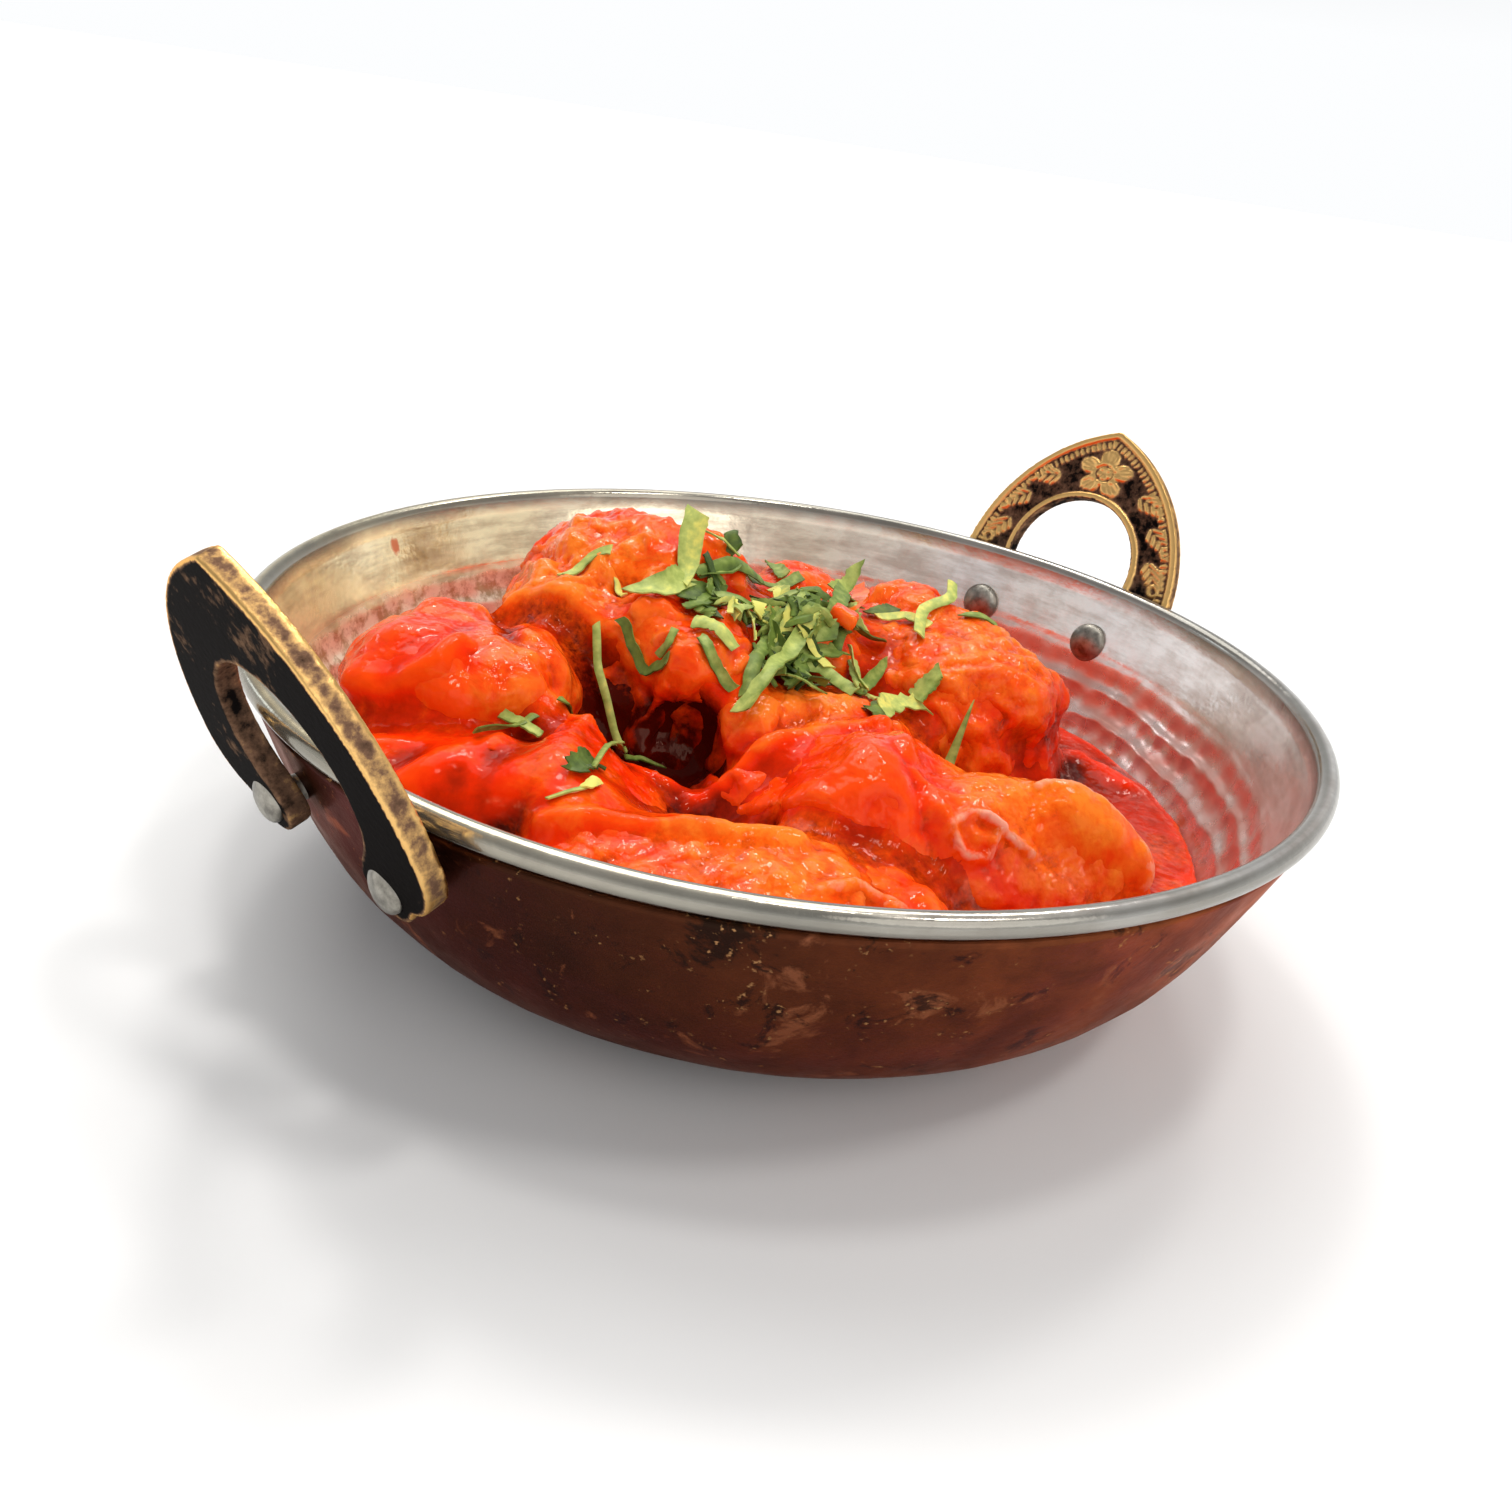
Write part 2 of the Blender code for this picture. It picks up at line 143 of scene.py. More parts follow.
@dataclass
class Noise:
    """Smooth random values in space, the same on every run."""

    seed: int
    slopes: np.ndarray = field(init=False)

    def __post_init__(self) -> None:
        """Draws the slopes that the lattice points take in turn."""
        self.slopes = unit(np.random.default_rng(self.seed).normal(size=(4096, 3)))

    def at(self, places: np.ndarray, size: float) -> np.ndarray:
        """Gradient noise.

        Args:
            places: Points, one a row.
            size: Distance between two lattice points.

        Returns:
            One value from about -1 to 1 for each point.
        """
        scaled = places / size
        cell = np.floor(scaled).astype(np.int64)
        within = scaled - cell
        eased = within**3 * (within * (within * 6 - 15) + 10)
        total = np.zeros(len(places))
        for corner in itertools.product((0, 1), repeat=3):
            at = cell + corner
            mixed = at[:, 0] * 73856093 ^ at[:, 1] * 19349663 ^ at[:, 2] * 83492791
            slope = self.slopes[mixed & 4095]
            weight = np.where(corner, eased, 1 - eased).prod(axis=1)
            total += weight * (slope * (within - corner)).sum(axis=1)
        return total * 1.6

    def fractal(self, places: np.ndarray, size: float, octaves: int) -> np.ndarray:
        """Noise with finer and weaker noise on it.

        Args:
            places: Points, one a row.
            size: Distance between two lattice points of the coarsest layer.
            octaves: How many layers there are, each half as large as the last.

        Returns:
            One value from about -1 to 1 for each point.
        """
        layers = (self.at(places + 31.7 * k * size, size / 2**k) / 2**k for k in range(octaves))
        return sum(layers) / (2 - 2 ** (1 - octaves))

    def folds(self, places: np.ndarray, size: float) -> np.ndarray:
        """Rounded lumps with sharp creases between them.

        Args:
            places: Points, one a row.
            size: Distance between two lattice points.

        Returns:
            One value for each point, from 0 in a crease to about 1 on a lump.
        """
        return np.minimum(np.abs(self.at(places, size)) * 2.2, 1.0) ** 0.7


def points_of(mesh: bpy.types.Mesh, what: str = "co") -> np.ndarray:
    """The mesh's vertex places or normals.

    Args:
        mesh: The mesh.
        what: "co" for the places, or "normal" for the normals.

    Returns:
        One vertex a row.
    """
    values = np.empty(len(mesh.vertices) * 3, np.float32)
    mesh.vertices.foreach_get(what, values)
    return values.reshape(-1, 3).astype(float)


def move_points(mesh: bpy.types.Mesh, places: np.ndarray) -> None:
    """Puts the mesh's vertices at these places."""
    mesh.vertices.foreach_set("co", places.astype(np.float32).ravel())
    mesh.update()


def edges_of(mesh: bpy.types.Mesh) -> np.ndarray:
    """The mesh's edges.

    Args:
        mesh: The mesh.

    Returns:
        The two vertex numbers of each edge, one edge a row.
    """
    ends = np.empty(len(mesh.edges) * 2, np.int32)
    mesh.edges.foreach_get("vertices", ends)
    return ends.reshape(-1, 2)


def relaxed(values: np.ndarray, edges: np.ndarray, rounds: int, share: float = 0.5) -> np.ndarray:
    """Moves each vertex's value towards the mean of its neighbours'.

    Args:
        values: One row for each vertex.
        edges: The mesh's edges.
        rounds: How often this is done.
        share: How far towards the mean each round goes.

    Returns:
        The relaxed values.
    """
    count = len(values)
    ends = np.concatenate([edges, edges[:, ::-1]])
    neighbours = np.maximum(np.bincount(ends[:, 0], minlength=count), 1)
    for _ in range(rounds):
        columns = [
            np.bincount(ends[:, 0], weights=column[ends[:, 1]], minlength=count) for column in values.T
        ]
        values = values + share * (np.stack(columns, axis=1) / neighbours[:, None] - values)
    return values


def paint(mesh: bpy.types.Mesh, name: str, values: np.ndarray) -> None:
    """Keeps one number for each vertex as an attribute that a material can read."""
    attribute = mesh.attributes.new(name, "FLOAT", "POINT")
    attribute.data.foreach_set("value", values.astype(np.float32))


def object_of(name: str, mesh: bpy.types.Mesh) -> bpy.types.Object:
    """Links an object that shows a mesh, shaded smooth.

    Args:
        name: The object's name, which the mesh takes too.
        mesh: The mesh.

    Returns:
        The object.
    """
    mesh.name = name
    mesh.shade_smooth()
    made = bpy.data.objects.new(name, mesh)
    bpy.context.scene.collection.objects.link(made)
    return made


def mesh_of(shape: bmesh.types.BMesh, name: str) -> bpy.types.Mesh:
    """Turns a bmesh into a mesh and frees it.

    Args:
        shape: The bmesh.
        name: The mesh's name.

    Returns:
        The mesh.
    """
    mesh = bpy.data.meshes.new(name)
    shape.to_mesh(mesh)
    shape.free()
    return mesh


def remeshed(mesh: bpy.types.Mesh, voxel: float) -> bpy.types.Mesh:
    """An even mesh over the outside of this one, which is used up.

    Args:
        mesh: Closed shells, which may run into each other.
        voxel: Size of the new mesh's squares.

    Returns:
        One closed surface.
    """
    carrier = bpy.data.objects.new("carrier", mesh)
    bpy.context.scene.collection.objects.link(carrier)
    modifier = carrier.modifiers.new("even squares", "REMESH")
    modifier.mode = "VOXEL"
    modifier.voxel_size = voxel
    graph = bpy.context.evaluated_depsgraph_get()
    made = bpy.data.meshes.new_from_object(carrier.evaluated_get(graph))
    bpy.data.objects.remove(carrier, do_unlink=True)
    bpy.data.meshes.remove(mesh)
    return made


def even_mesh_of(node: str, voxel: float) -> bpy.types.Mesh:
    """An even mesh over a CAD node.

    Args:
        node: The node's name.
        voxel: Size of the mesh's squares.

    Returns:
        The mesh.
    """
    shape = bmesh.new()
    shape.from_mesh(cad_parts[node].data)
    bmesh.ops.remove_doubles(shape, verts=shape.verts[:], dist=WELD)
    return remeshed(mesh_of(shape, "rough"), voxel)


def spun(profile: Sequence[tuple[float, float]], steps: int) -> bmesh.types.BMesh:
    """A closed solid turned about Z.

    Args:
        profile: (radius, height) points that start and end on the axis.
        steps: Number of steps in the whole turn.

    Returns:
        The solid, with its faces pointing out.
    """
    shape = bmesh.new()
    line = [shape.verts.new((radius, 0, height)) for radius, height in profile]
    edges = [shape.edges.new(pair) for pair in zip(line, line[1:])]
    bmesh.ops.spin(
        shape,
        geom=line + edges,
        axis=(0, 0, 1),
        cent=(0, 0, 0),
        steps=steps,
        angle=math.tau,
        use_merge=True,
    )
    bmesh.ops.remove_doubles(shape, verts=shape.verts[:], dist=WELD)
    bmesh.ops.recalc_face_normals(shape, faces=shape.faces[:])
    return shape


def arc(centre: Sequence[float], radius: float, start: float, end: float, count: int) -> list[tuple]:
    """Points on an arc, both ends included, with the angles in degrees."""
    angles = np.radians(np.linspace(start, end, count))
    return [(centre[0] + radius * math.cos(a), centre[1] + radius * math.sin(a)) for a in angles]


def dress(piece: bpy.types.Object, finish: bpy.types.Material, slot: Slot, *nodes: str) -> None:
    """Gives a piece its material and the body that it rides on.

    Args:
        piece: The finished object.
        finish: Its material.
        slot: The record's slot that it takes its finish from; it is not used.
        nodes: The CAD nodes that it stands for.
    """
    piece.data.materials.clear()
    piece.data.materials.append(finish)
    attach(piece, ROOT)
    if nodes:
        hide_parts(*nodes)
    log.info("%s: %d faces", piece.name, len(piece.data.polygons))


# ---------------------------------------------------------------------------
# Finishes
# ---------------------------------------------------------------------------


class Recipe:
    """A material under construction: short ways to add nodes and join them."""

    def __init__(self, name: str) -> None:
        """Starts a material with one Principled shader.

        Args:
            name: The material's name.
        """
        self.material = bpy.data.materials.new(name)
        self.material.use_nodes = True
        self.tree = self.material.node_tree
        self.shader = self.tree.nodes["Principled BSDF"]
        self.place = self.add("ShaderNodeTexCoord", {}).outputs["Object"]

    def add(self, kind: str, inputs: dict, **settings: object) -> bpy.types.Node:
        """Adds a node.

        Args:
            kind: Its type.
            inputs: A value or an output for each input, by name or number.
            settings: Its properties.

        Returns:
            The node.
        """
        node = self.tree.nodes.new(kind)
        for name, value in settings.items():
            setattr(node, name, value)
        for key, value in inputs.items():
            self.put(node.inputs[key], value)
        return node

    def put(self, socket: bpy.types.NodeSocket, value: object) -> None:
        """Joins an output to a socket, or sets the socket's own value.

        Args:
            socket: The socket.
            value: The output or the value.
        """
        if isinstance(value, bpy.types.NodeSocket):
            self.tree.links.new(value, socket)
        elif isinstance(value, tuple) and socket.type == "RGBA":
            socket.default_value = (*value, 1.0)
        else:
            socket.default_value = value

    def surface(self, **inputs: object) -> None:
        """Sets the shader's sockets, with a space in a name written as _."""
        for name, value in inputs.items():
            self.put(self.shader.inputs[name.replace("_", " ")], value)

    def noise(self, size: float, detail: float = 3.0, roughness: float = 0.5, bend: float = 0.0) -> object:
        """A cloudy pattern.

        Args:
            size: Size of its features, in metres.
            detail: How many finer layers it has.
            roughness: How strong those layers are.
            bend: How far it is bent out of shape.

        Returns:
            A value from 0 to 1.
        """
        inputs = {
            "Vector": self.place,
            "Scale": 1 / size,
            "Detail": detail,
            "Roughness": roughness,
            "Distortion": bend,
        }
        return self.add("ShaderNodeTexNoise", inputs).outputs["Fac"]

    def cells(self, size: float) -> object:
        """The distance to the nearest of many scattered points, this far apart in metres."""
        inputs = {"Vector": self.place, "Scale": 1 / size}
        return self.add("ShaderNodeTexVoronoi", inputs).outputs["Distance"]

    def ramp(self, value: object, *stops: tuple[float, Colour]) -> object:
        """A colour that follows a value.

        Args:
            value: The value.
            stops: Places from 0 to 1, each with the colour there.

        Returns:
            The colour.
        """
        node = self.add("ShaderNodeValToRGB", {"Fac": value})
        band = node.color_ramp
        while len(band.elements) < len(stops):
            band.elements.new(0.5)
        for element, (position, colour) in zip(band.elements, stops):
            element.position = position
            element.color = (*colour, 1.0)
        return node.outputs["Color"]

    def grade(self, value: object, low: float, high: float, start: float, end: float) -> object:
        """Maps low..high onto start..end and holds it there."""
        inputs = {"Value": value, "From Min": low, "From Max": high, "To Min": start, "To Max": end}
        return self.add("ShaderNodeMapRange", inputs, clamp=True).outputs["Result"]

    def varied(self, low: float, high: float, *pattern: float) -> object:
        """A value that wanders from low to high, in a pattern that noise() makes of the other numbers."""
        return self.grade(self.noise(*pattern), 0.3, 0.7, low, high)

    def sum(self, first: object, second: object) -> object:
        """One value added to another."""
        return self.add("ShaderNodeMath", {0: first, 1: second}, operation="ADD").outputs[0]

    def product(self, first: object, second: object) -> object:
        """One value times another."""
        return self.add("ShaderNodeMath", {0: first, 1: second}, operation="MULTIPLY").outputs[0]

    def mix(self, share: object, first: object, second: object) -> object:
        """A colour between two others.

        Args:
            share: How much of the second is in it, from 0 to 1.
            first: One colour.
            second: The other.

        Returns:
            The colour between them.
        """
        node = self.add("ShaderNodeMix", {"Factor": share}, data_type="RGBA")
        self.put(node.inputs[6], first)
        self.put(node.inputs[7], second)
        return node.outputs[2]

    def attribute(self, name: str) -> object:
        """A number that the piece's mesh carries."""
        return self.add("ShaderNodeAttribute", {}, attribute_name=name).outputs["Fac"]

    def relief(self, height: object, depth: float) -> None:
        """Lets the shader see fine relief, this deep in metres."""
        node = self.add("ShaderNodeBump", {"Height": height, "Distance": depth, "Strength": 1.0})
        self.put(self.shader.inputs["Normal"], node.outputs["Normal"])


@dataclass(frozen=True)
class BowlSteel:
    """Stainless steel inside the bowl, with a dull band of use and a film of sauce above the food.

    Its walls take painted reflections, and its rim's roll painted shade round a painted highlight line.
    """

    bright: Colour = (0.90, 0.87, 0.84)
    dull: Colour = (0.62, 0.55, 0.50)
    # straw and umber give the painted warm reflection on one side of the walls.
    straw: Colour = (0.99, 0.86, 0.52)
    umber: Colour = (0.66, 0.54, 0.32)
    # rose is a painted reflection of the red food, with a faint sauce film.
    rose: Colour = (0.74, 0.38, 0.31)
    bronze: Colour = (0.40, 0.26, 0.13)
    cream: Colour = (0.98, 0.92, 0.74)
    # Colour of the painted shade on the rim's roll.
    rim_shade: Colour = (0.22, 0.215, 0.19)
    film: Colour = (0.62, 0.11, 0.02)

    def make(self) -> bpy.types.Material:
        """Builds the material.

        Returns:
            The material.
        """
        recipe = Recipe("bowl_steel")
        squashed = recipe.add("ShaderNodeMapping", {"Vector": recipe.place, "Scale": Vector((1, 1, 7))})
        lines = {"Vector": squashed.outputs[0], "Scale": 1 / (18 * MM), "Detail": 5.0, "Roughness": 0.65}
        streaks = recipe.add("ShaderNodeTexNoise", lines).outputs["Fac"]
        clouds = recipe.sum(
            recipe.product(streaks, 0.6), recipe.product(recipe.noise(7 * MM, 6, 0.65, 0.4), 0.4)
        )
        cool = recipe.ramp(clouds, (0.40, self.dull), (0.56, self.bright))
        # Painted reflection: the walls are tinted warm straw on one side.
        warm_reflection = recipe.ramp(clouds, (0.42, self.umber), (0.55, self.straw))
        metal = recipe.mix(recipe.attribute("warm_reflection"), cool, warm_reflection)
        mottled = recipe.ramp(recipe.noise(3 * MM, 6, 0.7), (0.42, self.bronze), (0.56, self.cream))
        metal = recipe.mix(recipe.product(recipe.attribute("dull"), 0.8), metal, mottled)
        # Painted reflection of the red food, with a faint sauce film, in the low band on one side.
        metal = recipe.mix(recipe.attribute("rose_reflection_and_film"), metal, self.rose)
        # Painted shade on the rim's roll, with a painted highlight line left bright.
        metal = recipe.mix(recipe.attribute("rim_shade"), metal, self.rim_shade)
        splashed = recipe.sum(recipe.attribute("film"), recipe.noise(4 * MM, 5, 0.6))
        wet = recipe.grade(splashed, 0.98, 1.22, 0.0, 0.85)
        recipe.surface(
            Base_Color=recipe.mix(wet, metal, self.film),
            Metallic=recipe.sum(
                recipe.grade(wet, 0.0, 1.0, 0.78, 0.4), recipe.product(recipe.attribute("dull"), -0.35)
            ),
            Roughness=recipe.sum(
                recipe.varied(0.12, 0.24, 3 * MM, 4),
                recipe.product(recipe.sum(recipe.attribute("rose_reflection_and_film"), recipe.attribute("dull")), 0.16),
            ),
        )
        recipe.relief(recipe.noise(1.2 * MM, 3), 0.03 * MM)
        return recipe.material


@dataclass(frozen=True)
class JacketCopper:
    """Dark lacquered copper, worn bare in flakes, with grime and bright specks.

    One side is painted brighter and browner, as painted light.
    """

    lacquer: Colour = (0.014, 0.006, 0.003)
    brown: Colour = (0.038, 0.010, 0.0045)
    # Colour of the painted light on one side of the jacket.
    bright: Colour = (0.36, 0.092, 0.030)
    worn: Colour = (0.28, 0.095, 0.045)
    grime: Colour = (0.009, 0.006, 0.004)
    speck: Colour = (0.50, 0.26, 0.11)

    def make(self) -> bpy.types.Material:
        """Builds the material.

        Returns:
            The material.
        """
        recipe = Recipe("jacket_copper")
        body = recipe.ramp(recipe.noise(30 * MM, 5, 0.6, 0.4), (0.36, self.lacquer), (0.64, self.brown))
        cloudy = recipe.grade(recipe.noise(10 * MM, 7, 0.65, 0.4), 0.35, 0.65, 0.4, 1.1)
        # Painted light: one side of the jacket is painted brighter, in clouds.
        body = recipe.mix(recipe.product(recipe.attribute("bright"), cloudy), body, self.bright)
        flakes = recipe.grade(recipe.noise(11 * MM, 8, 0.62, 0.8), 0.60, 0.66, 0.0, 0.8)
        body = recipe.mix(flakes, body, self.worn)
        crust = recipe.noise(7 * MM, 9, 0.72, 0.6)
        body = recipe.mix(recipe.grade(crust, 0.55, 0.62, 0.0, 0.85), body, self.grime)
        specks = recipe.grade(recipe.noise(0.9 * MM, 2), 0.62, 0.70, 0.0, 0.8)
        specks = recipe.product(specks, recipe.grade(crust, 0.52, 0.58, 0.0, 1.0))
        recipe.surface(
            Base_Color=recipe.mix(specks, body, self.speck),
            Metallic=0.7,
            Specular_Tint=(0.80, 0.34, 0.20),
            Roughness=recipe.varied(0.28, 0.5, 6 * MM, 5),
            Specular_IOR_Level=0.15,
            Coat_Weight=0.05,
            Coat_Roughness=0.15,
        )
        recipe.relief(recipe.noise(2.5 * MM, 6, 0.65), 0.14 * MM)
        return recipe.material


@dataclass(frozen=True)
class CastBrass:
    """Cast brass, black with age in its hollows and rubbed bright on its edges."""

    patina: Colour = (0.005, 0.004, 0.004)
    brown: Colour = (0.19, 0.105, 0.065)
    gold: Colour = (0.82, 0.50, 0.18)

    def make(self) -> bpy.types.Material:
        """Builds the material.

        Returns:
            The material.
        """
        recipe = Recipe("cast_brass")
        uneven = recipe.grade(recipe.noise(1.6 * MM, 7, 0.65), 0, 1, -0.28, 0.28)
        ragged = recipe.sum(recipe.attribute("rubbed"), uneven)
        colour = recipe.ramp(ragged, (0.40, self.patina), (0.56, self.brown), (0.72, self.gold))
        recipe.surface(
            Base_Color=colour,
            Metallic=recipe.grade(ragged, 0.4, 0.7, 0.0, 1.0),
            Roughness=recipe.grade(ragged, 0.4, 0.8, 0.62, 0.30),
            IOR=1.15,
            Specular_IOR_Level=0.1,
            Specular_Tint=(1.0, 0.75, 0.50),
        )
        recipe.relief(recipe.noise(0.9 * MM, 5, 0.6), 0.06 * MM)
        return recipe.material


@dataclass(frozen=True)
class RivetSteel:
    """Dull steel with a greyish bloom."""

    grey: Colour = (0.15, 0.14, 0.12)
    pale: Colour = (0.40, 0.38, 0.33)

    def make(self) -> bpy.types.Material:
        """Builds the material.

        Returns:
            The material.
        """
        recipe = Recipe("rivet_steel")
        clouds = recipe.noise(1.8 * MM, 5, 0.6)
        recipe.surface(
            Base_Color=recipe.ramp(clouds, (0.35, self.grey), (0.65, self.pale)),
            Metallic=0.95,
            Roughness=recipe.grade(clouds, 0.3, 0.7, 0.32, 0.5),
        )
        recipe.relief(recipe.noise(0.6 * MM, 4), 0.04 * MM)
        return recipe.material


@dataclass(frozen=True)
class Gravy:
    """Thick tomato gravy, on meat or by itself: clear red where it runs smooth, orange where it is grainy.

    Each of the two has a darker colour for hollows, which paints shade into them, one for the open face
    and one for ridges. pit is the near-black colour painted as shade in the deepest hollows, and pale that
    of the painted highlight along seams. clouding is how much the colour varies, refraction, the index of
    its surface, sets how strongly that shines, and soak is how far each colour of light travels below it.
    """

    name: str
    # pit is painted shade for the deepest hollows.
    pit: Colour = (0.07, 0.003, 0.001)
    red: Shades = ((0.40, 0.014, 0.001), (0.84, 0.027, 0.001), (0.96, 0.068, 0.003))
    orange: Shades = ((0.48, 0.045, 0.002), (0.90, 0.110, 0.004), (0.99, 0.215, 0.018))
    # Colour of the painted highlight along seams.
    pale: Colour = (0.95, 0.42, 0.30)
    grain: float = 0.60 * MM
    gloss: float = 0.06
    clouding: float = 0.24
    soak: Colour = (1.0, 0.2, 0.08)
    refraction: float = 1.33

    def make(self) -> bpy.types.Material:
        """Builds the material.

        Returns:
            The material.
        """
        recipe = Recipe(self.name)
        clouds = recipe.varied(-self.clouding, self.clouding, 8 * MM, 5, 0.6, 0.5)
        patches = recipe.varied(-0.3, 0.3, 6 * MM, 4, 0.6, 0.6)
        grainy = recipe.grade(recipe.sum(recipe.attribute("grainy"), patches), 0.25, 0.75, 0.0, 1.0)
        specks = recipe.varied(-0.2, 0.2, 1.2 * MM, 5, 0.65)
        specks = recipe.product(specks, recipe.grade(grainy, 0.0, 1.0, 0.25, 1.0))
        height = recipe.sum(recipe.attribute("raised"), recipe.sum(clouds, specks))
        stops = (0.22, 0.52, 0.86)
        # Low values of raised are painted shade: hollows take the darker colours, the deepest the
        # near-black pit.
        clear = recipe.ramp(height, (0.0, self.pit), *zip(stops, self.red))
        cloudy = recipe.ramp(height, (0.0, self.pit), *zip(stops, self.orange))
        colour = recipe.mix(grainy, clear, cloudy)
        # Painted highlight along the pale seams.
        highlight_seams = recipe.sum(recipe.attribute("pale"), recipe.varied(-0.25, 0.25, 1.6 * MM, 4))
        recipe.surface(
            Base_Color=recipe.mix(recipe.grade(highlight_seams, 0.35, 0.9, 0.0, 0.9), colour, self.pale),
            Roughness=recipe.varied(self.gloss, self.gloss + 0.08, 2.2 * MM, 4),
            IOR=self.refraction,
            Specular_Tint=(1.0, 0.60, 0.45),
            Subsurface_Weight=0.12,
            Subsurface_Scale=2 * MM,
            Subsurface_Radius=self.soak,
            Specular_IOR_Level=0.5,
        )
        apart = recipe.cells(1.7 * MM)
        blisters = recipe.grade(recipe.product(apart, apart), 0.0, 0.16, 0.14, 0.0)
        rough = recipe.sum(blisters, recipe.product(recipe.noise(2.4 * MM, 0), 0.35))
        smooth = recipe.product(recipe.noise(3.4 * MM, 2), 0.9)
        recipe.relief(recipe.sum(smooth, recipe.product(rough, recipe.sum(grainy, 0.12))), self.grain)
        return recipe.material


@dataclass(frozen=True)
class Leaf:
    """Cut coriander: each strip has its own green, with a pale vein side."""

    dark: Colour = (0.040, 0.075, 0.010)
    green: Colour = (0.17, 0.25, 0.040)
    pale: Colour = (0.48, 0.55, 0.14)
    yellow: Colour = (0.75, 0.72, 0.16)

    def make(self) -> bpy.types.Material:
        """Builds the material.

        Returns:
            The material.
        """
        recipe = Recipe("coriander_leaf")
        tone = recipe.sum(recipe.attribute("tone"), recipe.varied(-0.15, 0.15, 1.5 * MM, 4))
        stops = (0.1, self.dark), (0.5, self.green), (0.85, self.pale), (1.0, self.yellow)
        recipe.surface(
            Base_Color=recipe.ramp(tone, *stops),
            Roughness=recipe.varied(0.4, 0.6, 2 * MM, 3),
            Specular_IOR_Level=0.25,
        )
        recipe.relief(recipe.noise(0.7 * MM, 3), 0.05 * MM)
        return recipe.material


@dataclass(frozen=True)
class Tabletop:
    """A plain pale floor."""

    shade: Colour = (0.90, 0.90, 0.90)

    def make(self) -> bpy.types.Material:
        """Builds the material.

        Returns:
            The material.
        """
        recipe = Recipe("tabletop")
        near = tuple(0.97 * c for c in self.shade)
        recipe.surface(Base_Color=recipe.mix(recipe.noise(0.2), near, self.shade), Roughness=0.8)
        return recipe.material


# ---------------------------------------------------------------------------
# The karahi
# ---------------------------------------------------------------------------


@dataclass
class Wall:
    """The bowl's wall: a cubic curve in (radius, height) from under the rim to the base."""

    curve: tuple = ((76.2, 36.3), (69.2, 16.3), (65.1, 3.9), (44.75, 0.0))
    jacket: float = 0.8 * MM
    steel: float = 0.9 * MM
    gap: float = 0.3 * MM

    @property
    def inside(self) -> float:
        """Depth of the bowl's inner face behind its outermost one."""
        return self.jacket + self.gap + self.steel

    def section(self, depth: float, count: int) -> np.ndarray:
        """Points at one depth inside the wall.

        Args:
            depth: Distance from the outermost face.
            count: Number of steps.

        Returns:
            (radius, height) rows from under the rim to the base.
        """
        a, b, c, d = (np.array(corner) * MM for corner in self.curve)
        t = np.linspace(0, 1, count + 1)[:, None]
        s = 1 - t
        place = s**3 * a + 3 * s * s * t * b + 3 * s * t * t * c + t**3 * d
        along = s * s * (b - a) + 2 * s * t * (c - b) + t * t * (d - c)
        points = place + unit(np.stack([along[:, 1], -along[:, 0]], axis=1)) * depth
        points[-1, 1] = depth
        return points

    def radius(self, height: object, depth: float) -> object:
        """The radius at a height of the surface this deep inside the wall."""
        points = self.section(depth, 60)[::-1]
        return np.interp(height, points[:, 1], points[:, 0])


@dataclass
class Hammering:
    """Rings of round hammer marks, each a shallow hollow with a ridge where it meets the next.

    groove is the share of the depth that a ring's marks have in common, and slope, under 1, puts the
    deepest line of each ring below its middle.
    """

    size: float
    depth: float
    start: float
    end: float
    jitter: float = 0.22
    groove: float = 0.0
    slope: float = 0.6
    seed: int = 3

    def hollow(self, places: np.ndarray) -> np.ndarray:
        """How deep the marks go at these points.

        Args:
            places: Points on a surface turned about Z.

        Returns:
            The depth at each point, 0 above and below the hammered band.
        """
        radius = from_axis(places)
        around = bearing(places)
        rng = np.random.default_rng(self.seed)
        shift = rng.uniform(-self.jitter, self.jitter, (64, 128, 2))
        row = places[:, 2] / self.size + 0.15 * Noise(self.seed).at(places, 14 * MM)
        nearest = np.full(len(places), 9.0)
        for up, across in itertools.product((-1, 0, 1), repeat=2):
            ring = np.floor(row).astype(int) + up
            girth = np.maximum(np.interp((ring + 0.5) * self.size, *self.girth(places)), self.size)
            count = np.maximum(np.round(girth / self.size), 3)
            column = np.round(around / math.tau * count - (ring % 2) * 0.5) + across
            moved = shift[ring % 64, column.astype(int) % count.astype(int) % 128]
            centre = (column + (ring % 2) * 0.5 + moved[:, 0]) / count * math.tau
            apart = (np.mod(around - centre + math.pi, math.tau) - math.pi) * radius / self.size
            nearest = np.minimum(nearest, apart**2 + (row - ring - 0.5 - moved[:, 1]) ** 2)
        band = np.clip((places[:, 2] - self.start) / self.size, 0, 1)
        band *= np.clip((self.end - places[:, 2]) / (1.2 * self.size), 0, 1)
        ring_depth = np.sin(math.pi * (row - np.floor(row)) ** self.slope)
        marks = np.clip(1 - 2.2 * nearest, 0, 1)
        return self.depth * ((1 - self.groove) * marks + self.groove * ring_depth) * band

    @staticmethod
    def girth(places: np.ndarray) -> tuple[np.ndarray, np.ndarray]:
        """The surface's heights, in order, and the way round it at each."""
        order = np.argsort(places[:, 2])[:: max(1, len(places) // 400)]
        return places[order, 2], math.tau * from_axis(places[order])


